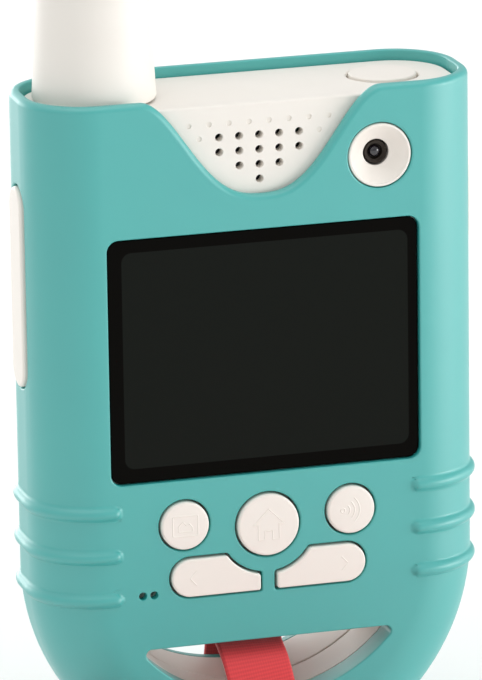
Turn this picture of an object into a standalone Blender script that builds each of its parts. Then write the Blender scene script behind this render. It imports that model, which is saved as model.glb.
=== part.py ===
"""Toy walkie talkie in a silicone sleeve, as an assembly of separate pieces.

Metres, +Z up. The origin is the middle of the flat foot, the screen faces -Y, +X is to the right.
"""

import math

import bmesh
import bpy
from mathutils import Matrix, Vector

# Body
BODY_WIDTH = 0.0636
BODY_DEPTH = 0.022
BODY_HEIGHT = 0.0973  # foot to sleeve rim
SIDE_RADIUS = 0.0093  # rounding of the long edges
FOOT_CUT = 0.0019  # how much of the round lower end the foot cuts away
SLEEVE_WALL = 0.0014
HOUSING_WALL = 0.0017
CAVITY_RADIUS = 0.0058
FIT_GAP = 0.0003  # between pieces that touch
SLEEVE_FLOOR = 0.0016
RIM_HEIGHT = 0.0014  # sleeve rim above the housing's top face
CAVITY_FLOOR = 0.0230

# Sleeve ribs and notch
RIB_HEIGHTS = (0.0402, 0.0340, 0.0278)
RIB_RADIUS = 0.00072
RIB_START = 0.0218  # from the middle plane to a rib's end
NOTCH_HALF_WIDTH = 0.01705
NOTCH_BOTTOM = 0.0834
NOTCH_POWER = 1.305  # how far the bell's steep part lies from its middle

# Strap slot: a flat upper edge over a round lower edge
SLOT_TOP = 0.02015
SLOT_RADIUS = 0.02366
SLOT_CENTRE = 0.0348
SLOT_CORNER = 0.0008
COLLAR_DEPTH = 0.0040
COLLAR_WALL = 0.0010

# Screen
GLASS_WIDTH = 0.0440
GLASS_HEIGHT = 0.0343
GLASS_CORNER = 0.0015
GLASS_THICKNESS = 0.0008
GLASS_LEDGE = 0.0011
SCREEN_HEIGHT = 0.0613  # middle of the screen above the foot
PANEL_SIZE = (0.0460, 0.0350)
PANEL_THICKNESS = 0.0013
BACKLIGHT_THICKNESS = 0.0009

# Camera
CAMERA_X = 0.01665
CAMERA_Z = 0.0875
DISH_RADIUS = 0.00445
DISH_STEM_RADIUS = 0.0030
DISH_BORE = 0.00185
BARREL_RADIUS = 0.0016
BARREL_BORE = 0.0011
LENS_RADIUS = 0.0008
MODULE_SIZE = 0.0080

# Speaker
GRILLE_PITCH = (0.00283, 0.00206)
GRILLE_TOP = 0.0914
GRILLE_ROWS = (5, 5, 3, 1)
GRILLE_HOLE = 0.00055
SPEAKER_RADIUS = 0.0064
SPEAKER_Z = 0.0869

# Front buttons
BUTTON_PROUD = 0.0004
BUTTON_GAP = 0.0003
FLANGE_LIP = 0.0006
FLANGE_THICKNESS = 0.0007
BUTTON_TRAVEL = 0.0006
HOME_RADIUS = 0.0044
HOME_Z = 0.0366
SMALL_RADIUS = 0.0034
SMALL_X = 0.0119
SMALL_Z = 0.0376
ARROW_START = 0.0012
ARROW_ARC = 0.0071
ARROW_END_X = 0.0112
ARROW_END_Z = 0.03003
ARROW_END_RADIUS = 0.0027

# Microphone
MIC_X = -0.0172
MIC_Z = 0.0280
MIC_HOLE = 0.00055
MIC_HOLE_PITCH = 0.0016
MIC_RADIUS = 0.0015
BOOT_WALL = 0.0006

# Side and top keys
TALK_LENGTH = 0.0282
TALK_Z = 0.0705
VOLUME_LENGTH = 0.0130
VOLUME_Z = 0.0783
SIDE_KEY_WIDTH = 0.0056
TALK_PROUD = 0.0004
VOLUME_PROUD = 0.0006
VOLUME_GAP = 0.0005
VOLUME_ROOM = 0.0003  # further in than the other keys' flanges, so that the rocker can tilt
VOLUME_SWITCH_OFFSET = 0.0040
POWER_X = 0.0208
POWER_Y = 0.0010
POWER_RADIUS = 0.0047
POWER_PROUD = 0.0003

# Antenna
ANTENNA_X = -0.0206
ANTENNA_RADIUS = 0.0085
ANTENNA_TIP_RADIUS = 0.0066
ANTENNA_HEIGHT = 0.0380
ANTENNA_WALL = 0.0013
POST_RADIUS = 0.0030
STUB_RADIUS = 0.0026
STUB_LENGTH = 0.0065
COIL_RADIUS = 0.0042
COIL_WIRE = 0.00035
COIL_TURNS = 7

# Electronics
BOARD_THICKNESS = 0.0010
BOARD_BOTTOM = 0.0248
BOARD_TOP = 0.0922
SWITCH_SIZE = 0.0042
SWITCH_BODY = 0.0009
SWITCH_PLUNGER = 0.0006
SWITCH_SLACK = 0.0001  # left between a pressed key and its plunger
BATTERY_SIZE = (0.0340, 0.0048, 0.0440)
BATTERY_Z = 0.0610
PORT_Z = 0.0520
PORT_WIDTH = 0.0090
PORT_HEIGHT = 0.0030
PORT_LENGTH = 0.0075
PORT_WALL = 0.0004

# Screws
SCREW_RADIUS = 0.0010
SCREW_HEAD_RADIUS = 0.0019
SCREW_HEAD_HEIGHT = 0.0012
SCREW_SINK = 0.0009  # head below the housing's back
SCREW_START = 0.0025  # front housing's inner face to the screw's point
BOSS_RADIUS = 0.0023
LOWER_SCREW_Z = 0.0330
UPPER_SCREW_X = 0.0097
UPPER_SCREW_Z = 0.0885

# Wrist strap
STRAP_WIDTH = 0.0094
STRAP_THICKNESS = 0.0010
STRAP_STEPS = 90
KEEPER_SIZE = (0.0120, 0.0032, 0.0104)

# Planes and heights that follow from the sizes above
FRONT = -BODY_DEPTH / 2
BACK = BODY_DEPTH / 2
HALF_WIDTH = BODY_WIDTH / 2
FLAT_BAND = BODY_DEPTH / 2 - SIDE_RADIUS
CORE_HALF_WIDTH = HALF_WIDTH - SIDE_RADIUS
ROUND_CENTRE = HALF_WIDTH - FOOT_CUT
HOUSING_RADIUS = SIDE_RADIUS - SLEEVE_WALL - FIT_GAP
HOUSING_FRONT = -FLAT_BAND - HOUSING_RADIUS
HOUSING_TOP = BODY_HEIGHT - RIM_HEIGHT
CAVITY_FRONT = -FLAT_BAND - CAVITY_RADIUS
CAVITY_BACK = FLAT_BAND + CAVITY_RADIUS
CAVITY_HALF_WIDTH = CORE_HALF_WIDTH + CAVITY_RADIUS
CAVITY_TOP = HOUSING_TOP - HOUSING_WALL
FLANGE_FRONT = CAVITY_FRONT + FIT_GAP
FLANGE_BACK = FLANGE_FRONT + FLANGE_THICKNESS
KEY_ROOM = BUTTON_TRAVEL + SWITCH_SLACK
SWITCH_HEIGHT = SWITCH_BODY + SWITCH_PLUNGER
BOARD_FRONT = FLANGE_BACK + KEY_ROOM + SWITCH_HEIGHT + FIT_GAP
BOARD_BACK = BOARD_FRONT + BOARD_THICKNESS
BOARD_HALF_WIDTH = CAVITY_HALF_WIDTH - 0.0032
LOWER_SCREW_X = CAVITY_HALF_WIDTH - 0.0047
KEY_BACK = CAVITY_HALF_WIDTH - FIT_GAP - FLANGE_THICKNESS
ROCKER_BACK = KEY_BACK - VOLUME_ROOM
FAR = 0.05  # longer than any cut is deep

COLOURS = {
    "teal_silicone": ("#62C2BE", 0.55, 0.0),
    "white_plastic": ("#F3F1EC", 0.45, 0.0),
    "button_plastic": ("#F5F3EF", 0.5, 0.0),
    "black_glass": ("#0A0A09", 0.08, 0.0),
    "display": ("#1F211F", 0.3, 0.0),
    "black_plastic": ("#141414", 0.4, 0.0),
    "lens_glass": ("#20242C", 0.05, 0.0),
    "board": ("#1E5A3A", 0.5, 0.0),
    "flex_film": ("#B8742A", 0.5, 0.0),
    "steel": ("#B4B6B8", 0.35, 1.0),
    "copper": ("#B87445", 0.3, 1.0),
    "chip": ("#1C1D1F", 0.5, 0.0),
    "battery_film": ("#3D5C8C", 0.4, 0.0),
    "grey_rubber": ("#3A3C3E", 0.8, 0.0),
    "red_ribbon": ("#E5504F", 0.8, 0.0),
}

for old in list(bpy.data.objects):
    bpy.data.objects.remove(old)

parts = bpy.data.collections.new("toy_walkie_talkie")
cutters = bpy.data.collections.new("cutters")
cutters.hide_render = True
bpy.context.scene.collection.children.link(parts)
bpy.context.scene.collection.children.link(cutters)


# Materials


def linear(channel):
    return channel / 12.92 if channel <= 0.04045 else ((channel + 0.055) / 1.055) ** 2.4


def material(name):
    found = bpy.data.materials.get(name)
    if found:
        return found
    colour, roughness, metallic = COLOURS[name]
    rgb = [linear(int(colour[i : i + 2], 16) / 255) for i in (1, 3, 5)]
    made = bpy.data.materials.new(name)
    made.use_nodes = True
    shader = made.node_tree.nodes["Principled BSDF"]
    shader.inputs["Base Color"].default_value = (*rgb, 1)
    shader.inputs["Roughness"].default_value = roughness
    shader.inputs["Metallic"].default_value = metallic
    made.diffuse_color = (*rgb, 1)
    return made


# Building blocks


def add_object(name, mesh, look=None):
    """A mesh object: a part with its own material, or a cutter when no look is named."""
    made = bpy.data.objects.new(name, mesh)
    if look is None:
        cutters.objects.link(made)
        made.hide_render = True
        made.display_type = "WIRE"
        return made
    parts.objects.link(made)
    mesh.materials.append(material(look))
    mesh.shade_smooth()
    mesh.set_sharp_from_angle(angle=math.radians(35))
    return made


def mesh_from(bm, name):
    mesh = bpy.data.meshes.new(name)
    bmesh.ops.recalc_face_normals(bm, faces=bm.faces)
    bm.to_mesh(mesh)
    bm.free()
    return mesh


def block(name, x, y, z, look=None):
    """A box between two x, two y and two z values."""
    bm = bmesh.new()
    size = Vector((x[1] - x[0], y[1] - y[0], z[1] - z[0]))
    middle = Vector((x[0] + x[1], y[0] + y[1], z[0] + z[1])) / 2
    bmesh.ops.create_cube(bm, size=1, matrix=Matrix.LocRotScale(middle, None, size))
    return add_object(name, mesh_from(bm, name), look)


def rod(name, radius, start, end, look=None, segments=24):
    """A round rod between two points."""
    start, end = Vector(start), Vector(end)
    turn = (end - start).to_track_quat("Z", "Y")
    bm = bmesh.new()
    bmesh.ops.create_cone(
        bm,
        cap_ends=True,
        segments=segments,
        radius1=radius,
        radius2=radius,
        depth=(end - start).length,
        matrix=Matrix.LocRotScale((start + end) / 2, turn, None),
    )
    return add_object(name, mesh_from(bm, name), look)


def mesh_of_curve(curve_object, name):
    """The curve's evaluated mesh in world space, with its caps welded on. The curve is removed."""
    graph = bpy.context.evaluated_depsgraph_get()
    mesh = bpy.data.meshes.new_from_object(curve_object.evaluated_get(graph))
    mesh.transform(curve_object.matrix_world)
    bm = bmesh.new()
    bm.from_mesh(mesh)
    bmesh.ops.remove_doubles(bm, verts=bm.verts, dist=1e-6)
    bpy.data.objects.remove(curve_object)
    bpy.data.meshes.remove(mesh)
    return mesh_from(bm, name)


def curve_object(points, dimensions, cyclic):
    curve = bpy.data.curves.new("outline", "CURVE")
    curve.dimensions = dimensions
    spline = curve.splines.new("POLY")
    spline.points.add(len(points) - 1)
    for point, place in zip(spline.points, points):
        point.co = (*place, 1) if len(place) == 3 else (*place, 0, 1)
    spline.use_cyclic_u = cyclic
    made = bpy.data.objects.new("outline", curve)
    bpy.context.scene.collection.objects.link(made)
    return made


def slab(name, outline, y, look=None, rounding=0.0, steps=0):
    """An outline in X and Z, extruded between two y values, its edge rounded outwards."""
    outline_object = curve_object(outline, "2D", True)
    curve = outline_object.data
    curve.fill_mode = "BOTH"
    curve.extrude = (y[1] - y[0]) / 2 - rounding
    curve.bevel_depth = rounding
    curve.bevel_resolution = steps
    outline_object.rotation_euler = (math.pi / 2, 0, 0)
    outline_object.location = (0, (y[0] + y[1]) / 2, 0)
    bpy.context.view_layer.update()
    return add_object(name, mesh_of_curve(outline_object, name), look)


def turned(name, profile, place, axis, look=None, steps=32):
    """A profile of (radius, height) points, from its top down the outer side, turned about an axis."""
    bm = bmesh.new()
    ring = [bm.verts.new((radius, 0, height)) for radius, height in profile]
    for first, second in zip(ring, ring[1:]):
        bm.edges.new((first, second))
    if profile[0][0] > 0:
        bm.edges.new((ring[-1], ring[0]))
    mesh = bpy.data.meshes.new(name)
    bm.to_mesh(mesh)
    bm.free()
    made = add_object(name, mesh, look)
    screw = made.modifiers.new("turn", "SCREW")
    screw.steps = steps
    screw.render_steps = steps
    screw.use_merge_vertices = True
    screw.merge_threshold = 1e-6
    screw.use_smooth_shade = True
    made.location = place
    made.rotation_mode = "QUATERNION"
    made.rotation_quaternion = Vector(axis).to_track_quat("Z", "Y")
    return made


def boolean(target, other, operation):
    step = target.modifiers.new(other.name, "BOOLEAN")
    step.operation = operation
    step.object = other
    step.solver = "EXACT"


def cut(target, *others):
    for other in others:
        boolean(target, other, "DIFFERENCE")


def join(target, *others):
    for other in others:
        boolean(target, other, "UNION")


def arc(centre, radius, start, end, steps):
    """Points of an arc, its angles in degrees from +X towards +Z."""
    angles = [math.radians(start + (end - start) * i / steps) for i in range(steps + 1)]
    return [(centre[0] + radius * math.cos(a), centre[1] + radius * math.sin(a)) for a in angles]


# Outlines in X and Z


def core_outline(top):
    """The flat middle of the body: straight sides over a half circle."""
    lower = arc((0, ROUND_CENTRE), CORE_HALF_WIDTH, 0, -180, 32)
    return [(CORE_HALF_WIDTH, top), *lower, (-CORE_HALF_WIDTH, top)]


def rounded_box(half_width, half_height, corner, centre, steps=5):
    points = []
    for quarter, (sign_x, sign_z) in enumerate(((1, 1), (-1, 1), (-1, -1), (1, -1))):
        middle = (
            centre[0] + sign_x * (half_width - corner),
            centre[1] + sign_z * (half_height - corner),
        )
        points += arc(middle, corner, 90 * quarter, 90 * quarter + 90, steps)
    return points


def slot_outline(grow):
    """The strap slot: a flat upper edge, small round corners and one wide arc below."""
    corner = SLOT_CORNER + grow
    top = SLOT_TOP + grow
    radius = SLOT_RADIUS + grow
    drop = SLOT_CENTRE - (top - corner)
    corner_x = math.sqrt((radius - corner) ** 2 - drop**2)
    lean = math.degrees(math.atan2(-drop, corner_x))
    right = arc((corner_x, top - corner), corner, 90, lean, 6)
    below = arc((0, SLOT_CENTRE), radius, lean, -180 - lean, 24)
    left = [(-x, z) for x, z in reversed(right)]
    return [*right, *below[1:-1], *left]


def notch_outline():
    """The bell shaped opening over the grille: flat in its middle, and it runs out at the rim."""
    steps = 28
    dip = []
    for i in range(steps + 1):
        x = NOTCH_HALF_WIDTH * (2 * i / steps - 1)
        rise = math.sin(math.pi / 2 * (abs(x) / NOTCH_HALF_WIDTH) ** NOTCH_POWER) ** 2
        dip.append((x, NOTCH_BOTTOM + (BODY_HEIGHT - NOTCH_BOTTOM) * rise))
    return [*dip, (NOTCH_HALF_WIDTH, FAR * 3), (-NOTCH_HALF_WIDTH, FAR * 3)]


def arrow_outline(side, grow):
    """An arrow key: hollow beside the home button, straight along the top, round at its outer end."""
    radius = ARROW_ARC - grow
    start_x = ARROW_START - grow
    end_radius = ARROW_END_RADIUS + grow
    upper = ARROW_END_Z + end_radius
    lower_angle = math.degrees(math.asin(start_x / radius)) - 90
    upper_angle = math.degrees(math.asin((upper - HOME_Z) / radius))
    hollow = arc((0, HOME_Z), radius, lower_angle, upper_angle, 8)
    outer = arc((ARROW_END_X, ARROW_END_Z), end_radius, 90, -90, 14)
    points = [(start_x, ARROW_END_Z - end_radius), *hollow, *outer]
    return [(side * x, z) for x, z in points]


# Shapes that several pieces are cut from


def body_block(name, radius, z):
    """The body's shape with the given edge radius, cut flat at two heights."""
    y = (-FLAT_BAND - radius, FLAT_BAND + radius)
    made = slab(name, core_outline(FAR * 3), y, rounding=radius, steps=4)
    ends = block(name + "_ends", (-FAR * 2, FAR * 2), (-FAR, FAR), z)
    boolean(made, ends, "INTERSECT")
    return made


def as_part(cutter, name, look):
    """Moves a shape out of the cutters and makes it a piece."""
    cutters.objects.unlink(cutter)
    parts.objects.link(cutter)
    cutter.name = name
    cutter.hide_render = False
    cutter.display_type = "TEXTURED"
    cutter.data.materials.append(material(look))
    cutter.data.shade_smooth()
    cutter.data.set_sharp_from_angle(angle=math.radians(35))
    return cutter


def side_slab(name, side, half_width, half_height, corner, x, centre, look=None):
    """A rounded rectangle in Y and Z, extruded between two distances from the middle plane."""
    outline = rounded_box(half_width, half_height, corner, (0, 0))
    made = slab(name, outline, x, look)
    turn = Matrix.Rotation(math.radians(90 * side), 4, "Z")
    made.data.transform(turn)
    made.data.transform(Matrix.Translation((0, *centre)))
    return made


def rib(name, side, height):
    """A round bar along the sleeve's surface, from the front face round the side to the back."""
    front = arc((CORE_HALF_WIDTH, -FLAT_BAND), SIDE_RADIUS, -90, 0, 7)
    back = [(x, -y) for x, y in reversed(front)]
    narrowing = max(0.0, ROUND_CENTRE - height)
    shift = HALF_WIDTH - math.sqrt(HALF_WIDTH**2 - narrowing**2)
    flat = [(RIB_START, FRONT), *front, *back, (RIB_START, BACK)]
    path = [(side * (x - shift), y, height) for x, y in flat]
    made = curve_object(path, "3D", False)
    made.data.bevel_depth = RIB_RADIUS
    made.data.bevel_resolution = 2
    made.data.use_fill_caps = True
    bpy.context.view_layer.update()
    return add_object(name, mesh_of_curve(made, name))


def front_openings():
    """Cutters for the keys and the microphone, which pass through sleeve and housing alike."""
    y = (FRONT - 0.002, CAVITY_FRONT + 0.0005)
    rounds = {
        "home_hole": (HOME_RADIUS, 0, HOME_Z),
        "picture_hole": (SMALL_RADIUS, -SMALL_X, SMALL_Z),
        "voice_hole": (SMALL_RADIUS, SMALL_X, SMALL_Z),
    }
    holes = [
        rod(name, radius + BUTTON_GAP, (x, y[0], z), (x, y[1], z))
        for name, (radius, x, z) in rounds.items()
    ]
    holes += [
        slab("arrow_hole", arrow_outline(side, BUTTON_GAP), y) for side in (-1, 1)
    ]
    for offset in (-0.5, 0.5):
        x = MIC_X + offset * MIC_HOLE_PITCH
        holes.append(rod("mic_hole", MIC_HOLE, (x, y[0], MIC_Z), (x, y[1], MIC_Z), segments=12))
    return holes


def side_openings(inner):
    """Cutters for the talk key, the volume key and the charging socket."""
    x = (inner, HALF_WIDTH + 0.002)
    half_key = SIDE_KEY_WIDTH / 2
    talk = side_slab(
        "talk_hole",
        1,
        half_key + BUTTON_GAP,
        TALK_LENGTH / 2 + BUTTON_GAP,
        half_key + BUTTON_GAP - 1e-5,
        x,
        (0, TALK_Z),
    )
    volume = side_slab(
        "volume_hole",
        -1,
        half_key + BUTTON_GAP,
        VOLUME_LENGTH / 2 + VOLUME_GAP,
        half_key + BUTTON_GAP - 1e-5,
        x,
        (0, VOLUME_Z),
    )
    port_half = PORT_HEIGHT / 2 + FIT_GAP
    port = side_slab(
        "port_hole",
        -1,
        port_half,
        PORT_WIDTH / 2 + FIT_GAP,
        port_half - 1e-5,
        x,
        (port_y(), PORT_Z),
    )
    return [talk, volume, port]


def port_y():
    return BOARD_BACK + FIT_GAP + PORT_HEIGHT / 2


# Casings


def make_sleeve():
    sleeve = as_part(
        body_block("sleeve_outer", SIDE_RADIUS, (0, BODY_HEIGHT)), "silicone_sleeve", "teal_silicone"
    )
    hollow = body_block("sleeve_hollow", SIDE_RADIUS - SLEEVE_WALL, (SLEEVE_FLOOR, FAR * 2.5))
    cut(sleeve, hollow)
    for side in (-1, 1):
        for number, height in enumerate(RIB_HEIGHTS):
            join(sleeve, rib(f"rib_{side}_{number}", side, height))
    cut(sleeve, body_block("rib_trim", SIDE_RADIUS - SLEEVE_WALL, (SLEEVE_FLOOR, FAR * 2.4)))
    collar_y = (FRONT + SLEEVE_WALL / 2, FRONT + COLLAR_DEPTH)
    join(sleeve, slab("collar", slot_outline(COLLAR_WALL), collar_y))
    cut(sleeve, slab("sleeve_slot", slot_outline(0), (-FAR, FAR)))
    cut(sleeve, slab("notch", notch_outline(), (-FAR, -FLAT_BAND)))
    window = rounded_box(
        GLASS_WIDTH / 2 + FIT_GAP / 2,
        GLASS_HEIGHT / 2 + FIT_GAP / 2,
        GLASS_CORNER + FIT_GAP / 2,
        (0, SCREEN_HEIGHT),
    )
    cut(sleeve, slab("sleeve_window", window, (-FAR, -FLAT_BAND)))
    start = (CAMERA_X, -FAR, CAMERA_Z)
    end = (CAMERA_X, -FLAT_BAND, CAMERA_Z)
    cut(sleeve, rod("sleeve_dish_hole", DISH_RADIUS + FIT_GAP / 2, start, end, segments=32))
    cut(sleeve, *front_openings())
    cut(sleeve, *side_openings(CAVITY_HALF_WIDTH))


def screw_places():
    lower = [(side * LOWER_SCREW_X, LOWER_SCREW_Z) for side in (-1, 1)]
    upper = [(side * UPPER_SCREW_X, UPPER_SCREW_Z) for side in (-1, 1)]
    return lower + upper


def make_housing_half(name, y, top, plate=False):
    """One half of the white housing, between two y values and below a height. One half carries the whole top plate."""
    shape = body_block(name + "_shape", HOUSING_RADIUS, (SLEEVE_FLOOR + FIT_GAP, top))
    half = as_part(shape, name, "white_plastic")
    keep = block(name + "_side", (-FAR, FAR), y, (-FAR, FAR * 3))
    if plate:
        wide = (-FAR * 1.2, FAR * 1.2)
        join(keep, block(name + "_plate", wide, wide, (CAVITY_TOP, FAR * 3.2)))
    boolean(half, keep, "INTERSECT")
    cavity = body_block(name + "_cavity", CAVITY_RADIUS, (CAVITY_FLOOR, CAVITY_TOP))
    cut(half, cavity)
    cut(half, slab(name + "_slot", slot_outline(0), (-FAR, FAR)))
    antenna_hole = STUB_RADIUS + FIT_GAP
    cut(
        half,
        rod(
            name + "_antenna_hole",
            antenna_hole,
            (ANTENNA_X, 0, CAVITY_TOP - 0.001),
            (ANTENNA_X, 0, HOUSING_TOP + 0.001),
        ),
        rod(
            name + "_power_hole",
            POWER_RADIUS + BUTTON_GAP,
            (POWER_X, POWER_Y, CAVITY_TOP - 0.001),
            (POWER_X, POWER_Y, HOUSING_TOP + 0.001),
            segments=32,
        ),
    )
    cut(half, *side_openings(CAVITY_HALF_WIDTH - 0.001))
    return half


def grille_holes():
    """One cutter for all the speaker holes, which lie apart from each other."""
    bm = bmesh.new()
    turn = Vector((0, 1, 0)).to_track_quat("Z", "Y")
    for row, count in enumerate(GRILLE_ROWS):
        for i in range(count):
            x = (i - (count - 1) / 2) * GRILLE_PITCH[0]
            z = GRILLE_TOP - row * GRILLE_PITCH[1]
            middle = Vector((x, (HOUSING_FRONT + CAVITY_FRONT) / 2, z))
            bmesh.ops.create_cone(
                bm,
                cap_ends=True,
                segments=10,
                radius1=GRILLE_HOLE,
                radius2=GRILLE_HOLE,
                depth=HOUSING_WALL * 2,
                matrix=Matrix.LocRotScale(middle, turn, None),
            )
    return add_object("grille_holes", mesh_from(bm, "grille_holes"))


def make_front_housing():
    half = make_housing_half("front_housing", (-FAR, -FIT_GAP / 2), HOUSING_TOP, True)
    window = rounded_box(
        GLASS_WIDTH / 2 - GLASS_LEDGE,
        GLASS_HEIGHT / 2 - GLASS_LEDGE,
        GLASS_CORNER,
        (0, SCREEN_HEIGHT),
    )
    cut(half, slab("housing_window", window, (-FAR, CAVITY_FRONT + 0.0005)))
    start = (CAMERA_X, -FAR, CAMERA_Z)
    end = (CAMERA_X, CAVITY_FRONT + 0.0005, CAMERA_Z)
    cut(half, rod("housing_dish_hole", DISH_STEM_RADIUS + FIT_GAP, start, end))
    cut(half, *front_openings())
    collar_room = slot_outline(COLLAR_WALL + FIT_GAP)
    cut(half, slab("collar_room", collar_room, (-FAR, FRONT + COLLAR_DEPTH + FIT_GAP)))
    cut(half, grille_holes())
    for x, z in screw_places():
        root = (x, CAVITY_FRONT - HOUSING_WALL / 2, z)
        join(half, rod("front_boss", BOSS_RADIUS, root, (x, -FIT_GAP / 2, z), segments=16))
        pilot = SCREW_RADIUS + FIT_GAP
        bottom = (x, CAVITY_FRONT + 0.0008, z)
        cut(half, rod("pilot_hole", pilot, bottom, (x, 0.001, z), segments=16))


def make_rear_housing():
    half = make_housing_half("rear_housing", (FIT_GAP / 2, FAR), CAVITY_TOP - FIT_GAP)
    head_floor = -HOUSING_FRONT - SCREW_SINK - SCREW_HEAD_HEIGHT - FIT_GAP
    for x, z in screw_places():
        root = (x, CAVITY_BACK + HOUSING_WALL / 2, z)
        join(half, rod("rear_boss", BOSS_RADIUS, (x, FIT_GAP / 2, z), root, segments=16))
        hole = SCREW_RADIUS + FIT_GAP
        cut(half, rod("screw_hole", hole, (x, -0.001, z), (x, BACK, z), segments=16))
        head = SCREW_HEAD_RADIUS + FIT_GAP / 2
        cut(half, rod("head_hole", head, (x, head_floor, z), (x, BACK, z), segments=16))


def make_screws():
    """Pan head screws, driven from the back into the front housing's bosses."""
    start = CAVITY_FRONT + SCREW_START
    length = -HOUSING_FRONT - SCREW_SINK - start
    neck = length - SCREW_HEAD_HEIGHT
    profile = [
        (0, length),
        (SCREW_HEAD_RADIUS * 0.7, length),
        (SCREW_HEAD_RADIUS, length - SCREW_HEAD_HEIGHT * 0.4),
        (SCREW_HEAD_RADIUS, neck),
        (SCREW_RADIUS, neck),
        (SCREW_RADIUS, SCREW_RADIUS),
        (0, 0),
    ]
    for number, (x, z) in enumerate(screw_places(), start=1):
        turned(f"housing_screw_{number}", profile, (x, start, z), (0, 1, 0), "steel", steps=16)


# Screen and camera


def make_screen():
    glass_back = HOUSING_FRONT - FIT_GAP
    outline = rounded_box(
        GLASS_WIDTH / 2, GLASS_HEIGHT / 2, GLASS_CORNER, (0, SCREEN_HEIGHT)
    )
    slab("screen_glass", outline, (glass_back - GLASS_THICKNESS, glass_back), "black_glass")
    x = (-PANEL_SIZE[0] / 2, PANEL_SIZE[0] / 2)
    z = (SCREEN_HEIGHT - PANEL_SIZE[1] / 2, SCREEN_HEIGHT + PANEL_SIZE[1] / 2)
    panel_front = CAVITY_FRONT + FIT_GAP
    panel_back = panel_front + PANEL_THICKNESS
    block("display_panel", x, (panel_front, panel_back), z, "display")
    light_front = panel_back + FIT_GAP
    light_back = light_front + BACKLIGHT_THICKNESS
    block("backlight_frame", x, (light_front, light_back), z, "white_plastic")
    cable_z = (z[0] - FIT_GAP - 0.0008, z[0] - FIT_GAP)
    cable = block("display_cable", (-0.005, 0.005), (panel_back - 0.0003, panel_back), cable_z, "flex_film")
    tail = block(
        "display_cable_tail",
        (-0.005, 0.005),
        (panel_back - 0.0002, BOARD_FRONT - FIT_GAP),
        (cable_z[0], cable_z[0] + 0.0003),
    )
    join(cable, tail)


def make_camera():
    front = FRONT + 0.0001
    step = HOUSING_FRONT - FIT_GAP
    back = CAVITY_FRONT - FIT_GAP
    profile = [
        (DISH_RADIUS - 0.0004, -front),
        (DISH_RADIUS, -front - 0.0003),
        (DISH_RADIUS, -step),
        (DISH_STEM_RADIUS, -step),
        (DISH_STEM_RADIUS, -back),
        (DISH_BORE, -back),
        (DISH_BORE, -front - 0.0018),
    ]
    place = (CAMERA_X, 0, CAMERA_Z)
    turned("camera_dish", profile, place, (0, -1, 0), "white_plastic")
    barrel_front = -front - 0.0020
    module_front = CAVITY_FRONT + FIT_GAP
    barrel = [
        (BARREL_BORE, barrel_front),
        (BARREL_RADIUS, barrel_front),
        (BARREL_RADIUS, -module_front + FIT_GAP),
        (0, -module_front + FIT_GAP),
        (0, barrel_front - 0.0012),
        (BARREL_BORE, barrel_front - 0.0012),
    ]
    turned_ring(barrel, place)
    lens_back = barrel_front - 0.0012 + FIT_GAP
    lens = [(0, lens_back + 0.0007), (LENS_RADIUS * 0.7, lens_back + 0.0005)]
    lens += [(LENS_RADIUS, lens_back + 0.0002), (LENS_RADIUS, lens_back), (0, lens_back)]
    turned("camera_lens", lens, place, (0, -1, 0), "lens_glass", steps=20)
    half = MODULE_SIZE / 2
    block(
        "camera_module",
        (CAMERA_X - half, CAMERA_X + half),
        (module_front, BOARD_FRONT - FIT_GAP),
        (CAMERA_Z - half, CAMERA_Z + half),
        "black_plastic",
    )


def turned_ring(barrel, place):
    """The lens barrel: a cup, so its profile starts and ends on the axis inside the bore."""
    profile = [barrel[4], barrel[5], barrel[0], barrel[1], barrel[2], barrel[3]]
    turned("camera_barrel", profile, place, (0, -1, 0), "black_plastic", steps=24)


# Sound


def make_speaker():
    front = CAVITY_FRONT + FIT_GAP
    place = (0, 0, SPEAKER_Z)
    radius = SPEAKER_RADIUS
    frame = [
        (radius - 0.0009, -front),
        (radius, -front),
        (radius, -front - 0.0012),
        (radius * 0.62, -front - 0.0012),
        (radius * 0.62, -front - 0.0008),
        (radius - 0.0009, -front - 0.0008),
    ]
    turned("speaker_frame", frame, place, (0, -1, 0), "black_plastic")
    cone_radius = radius - 0.0009 - FIT_GAP
    cone = [(0, -front - 0.0003), (cone_radius, -front)]
    cone += [(cone_radius, -front - 0.0003), (0, -front - 0.0006)]
    turned("speaker_cone", cone, place, (0, -1, 0), "grey_rubber")
    magnet_front = front + 0.0012 + FIT_GAP
    rod(
        "speaker_magnet",
        radius * 0.6,
        (0, magnet_front, SPEAKER_Z),
        (0, BOARD_FRONT - FIT_GAP, SPEAKER_Z),
        "steel",
    )


def make_microphone():
    front = CAVITY_FRONT + FIT_GAP
    back = front + 0.0014
    rod("microphone", MIC_RADIUS, (MIC_X, front, MIC_Z), (MIC_X, back, MIC_Z), "steel")
    inner = MIC_RADIUS + FIT_GAP / 2
    outer = inner + BOOT_WALL
    profile = [(inner, -front), (outer, -front), (outer, -back), (inner, -back)]
    turned("microphone_boot", profile, (MIC_X, 0, MIC_Z), (0, -1, 0), "grey_rubber")


# Keys


def round_button(name, radius, place, axis, wall_depth, proud):
    """A cap that stands proud of the surface, with a flange that holds it behind the wall."""
    flange_top = -wall_depth - FIT_GAP
    profile = [
        (0, proud),
        (radius - 0.0004, proud),
        (radius, proud - 0.0003),
        (radius, flange_top),
        (radius + FLANGE_LIP, flange_top),
        (radius + FLANGE_LIP, flange_top - FLANGE_THICKNESS),
        (0, flange_top - FLANGE_THICKNESS),
    ]
    return turned(name, profile, place, axis, "button_plastic")


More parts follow.
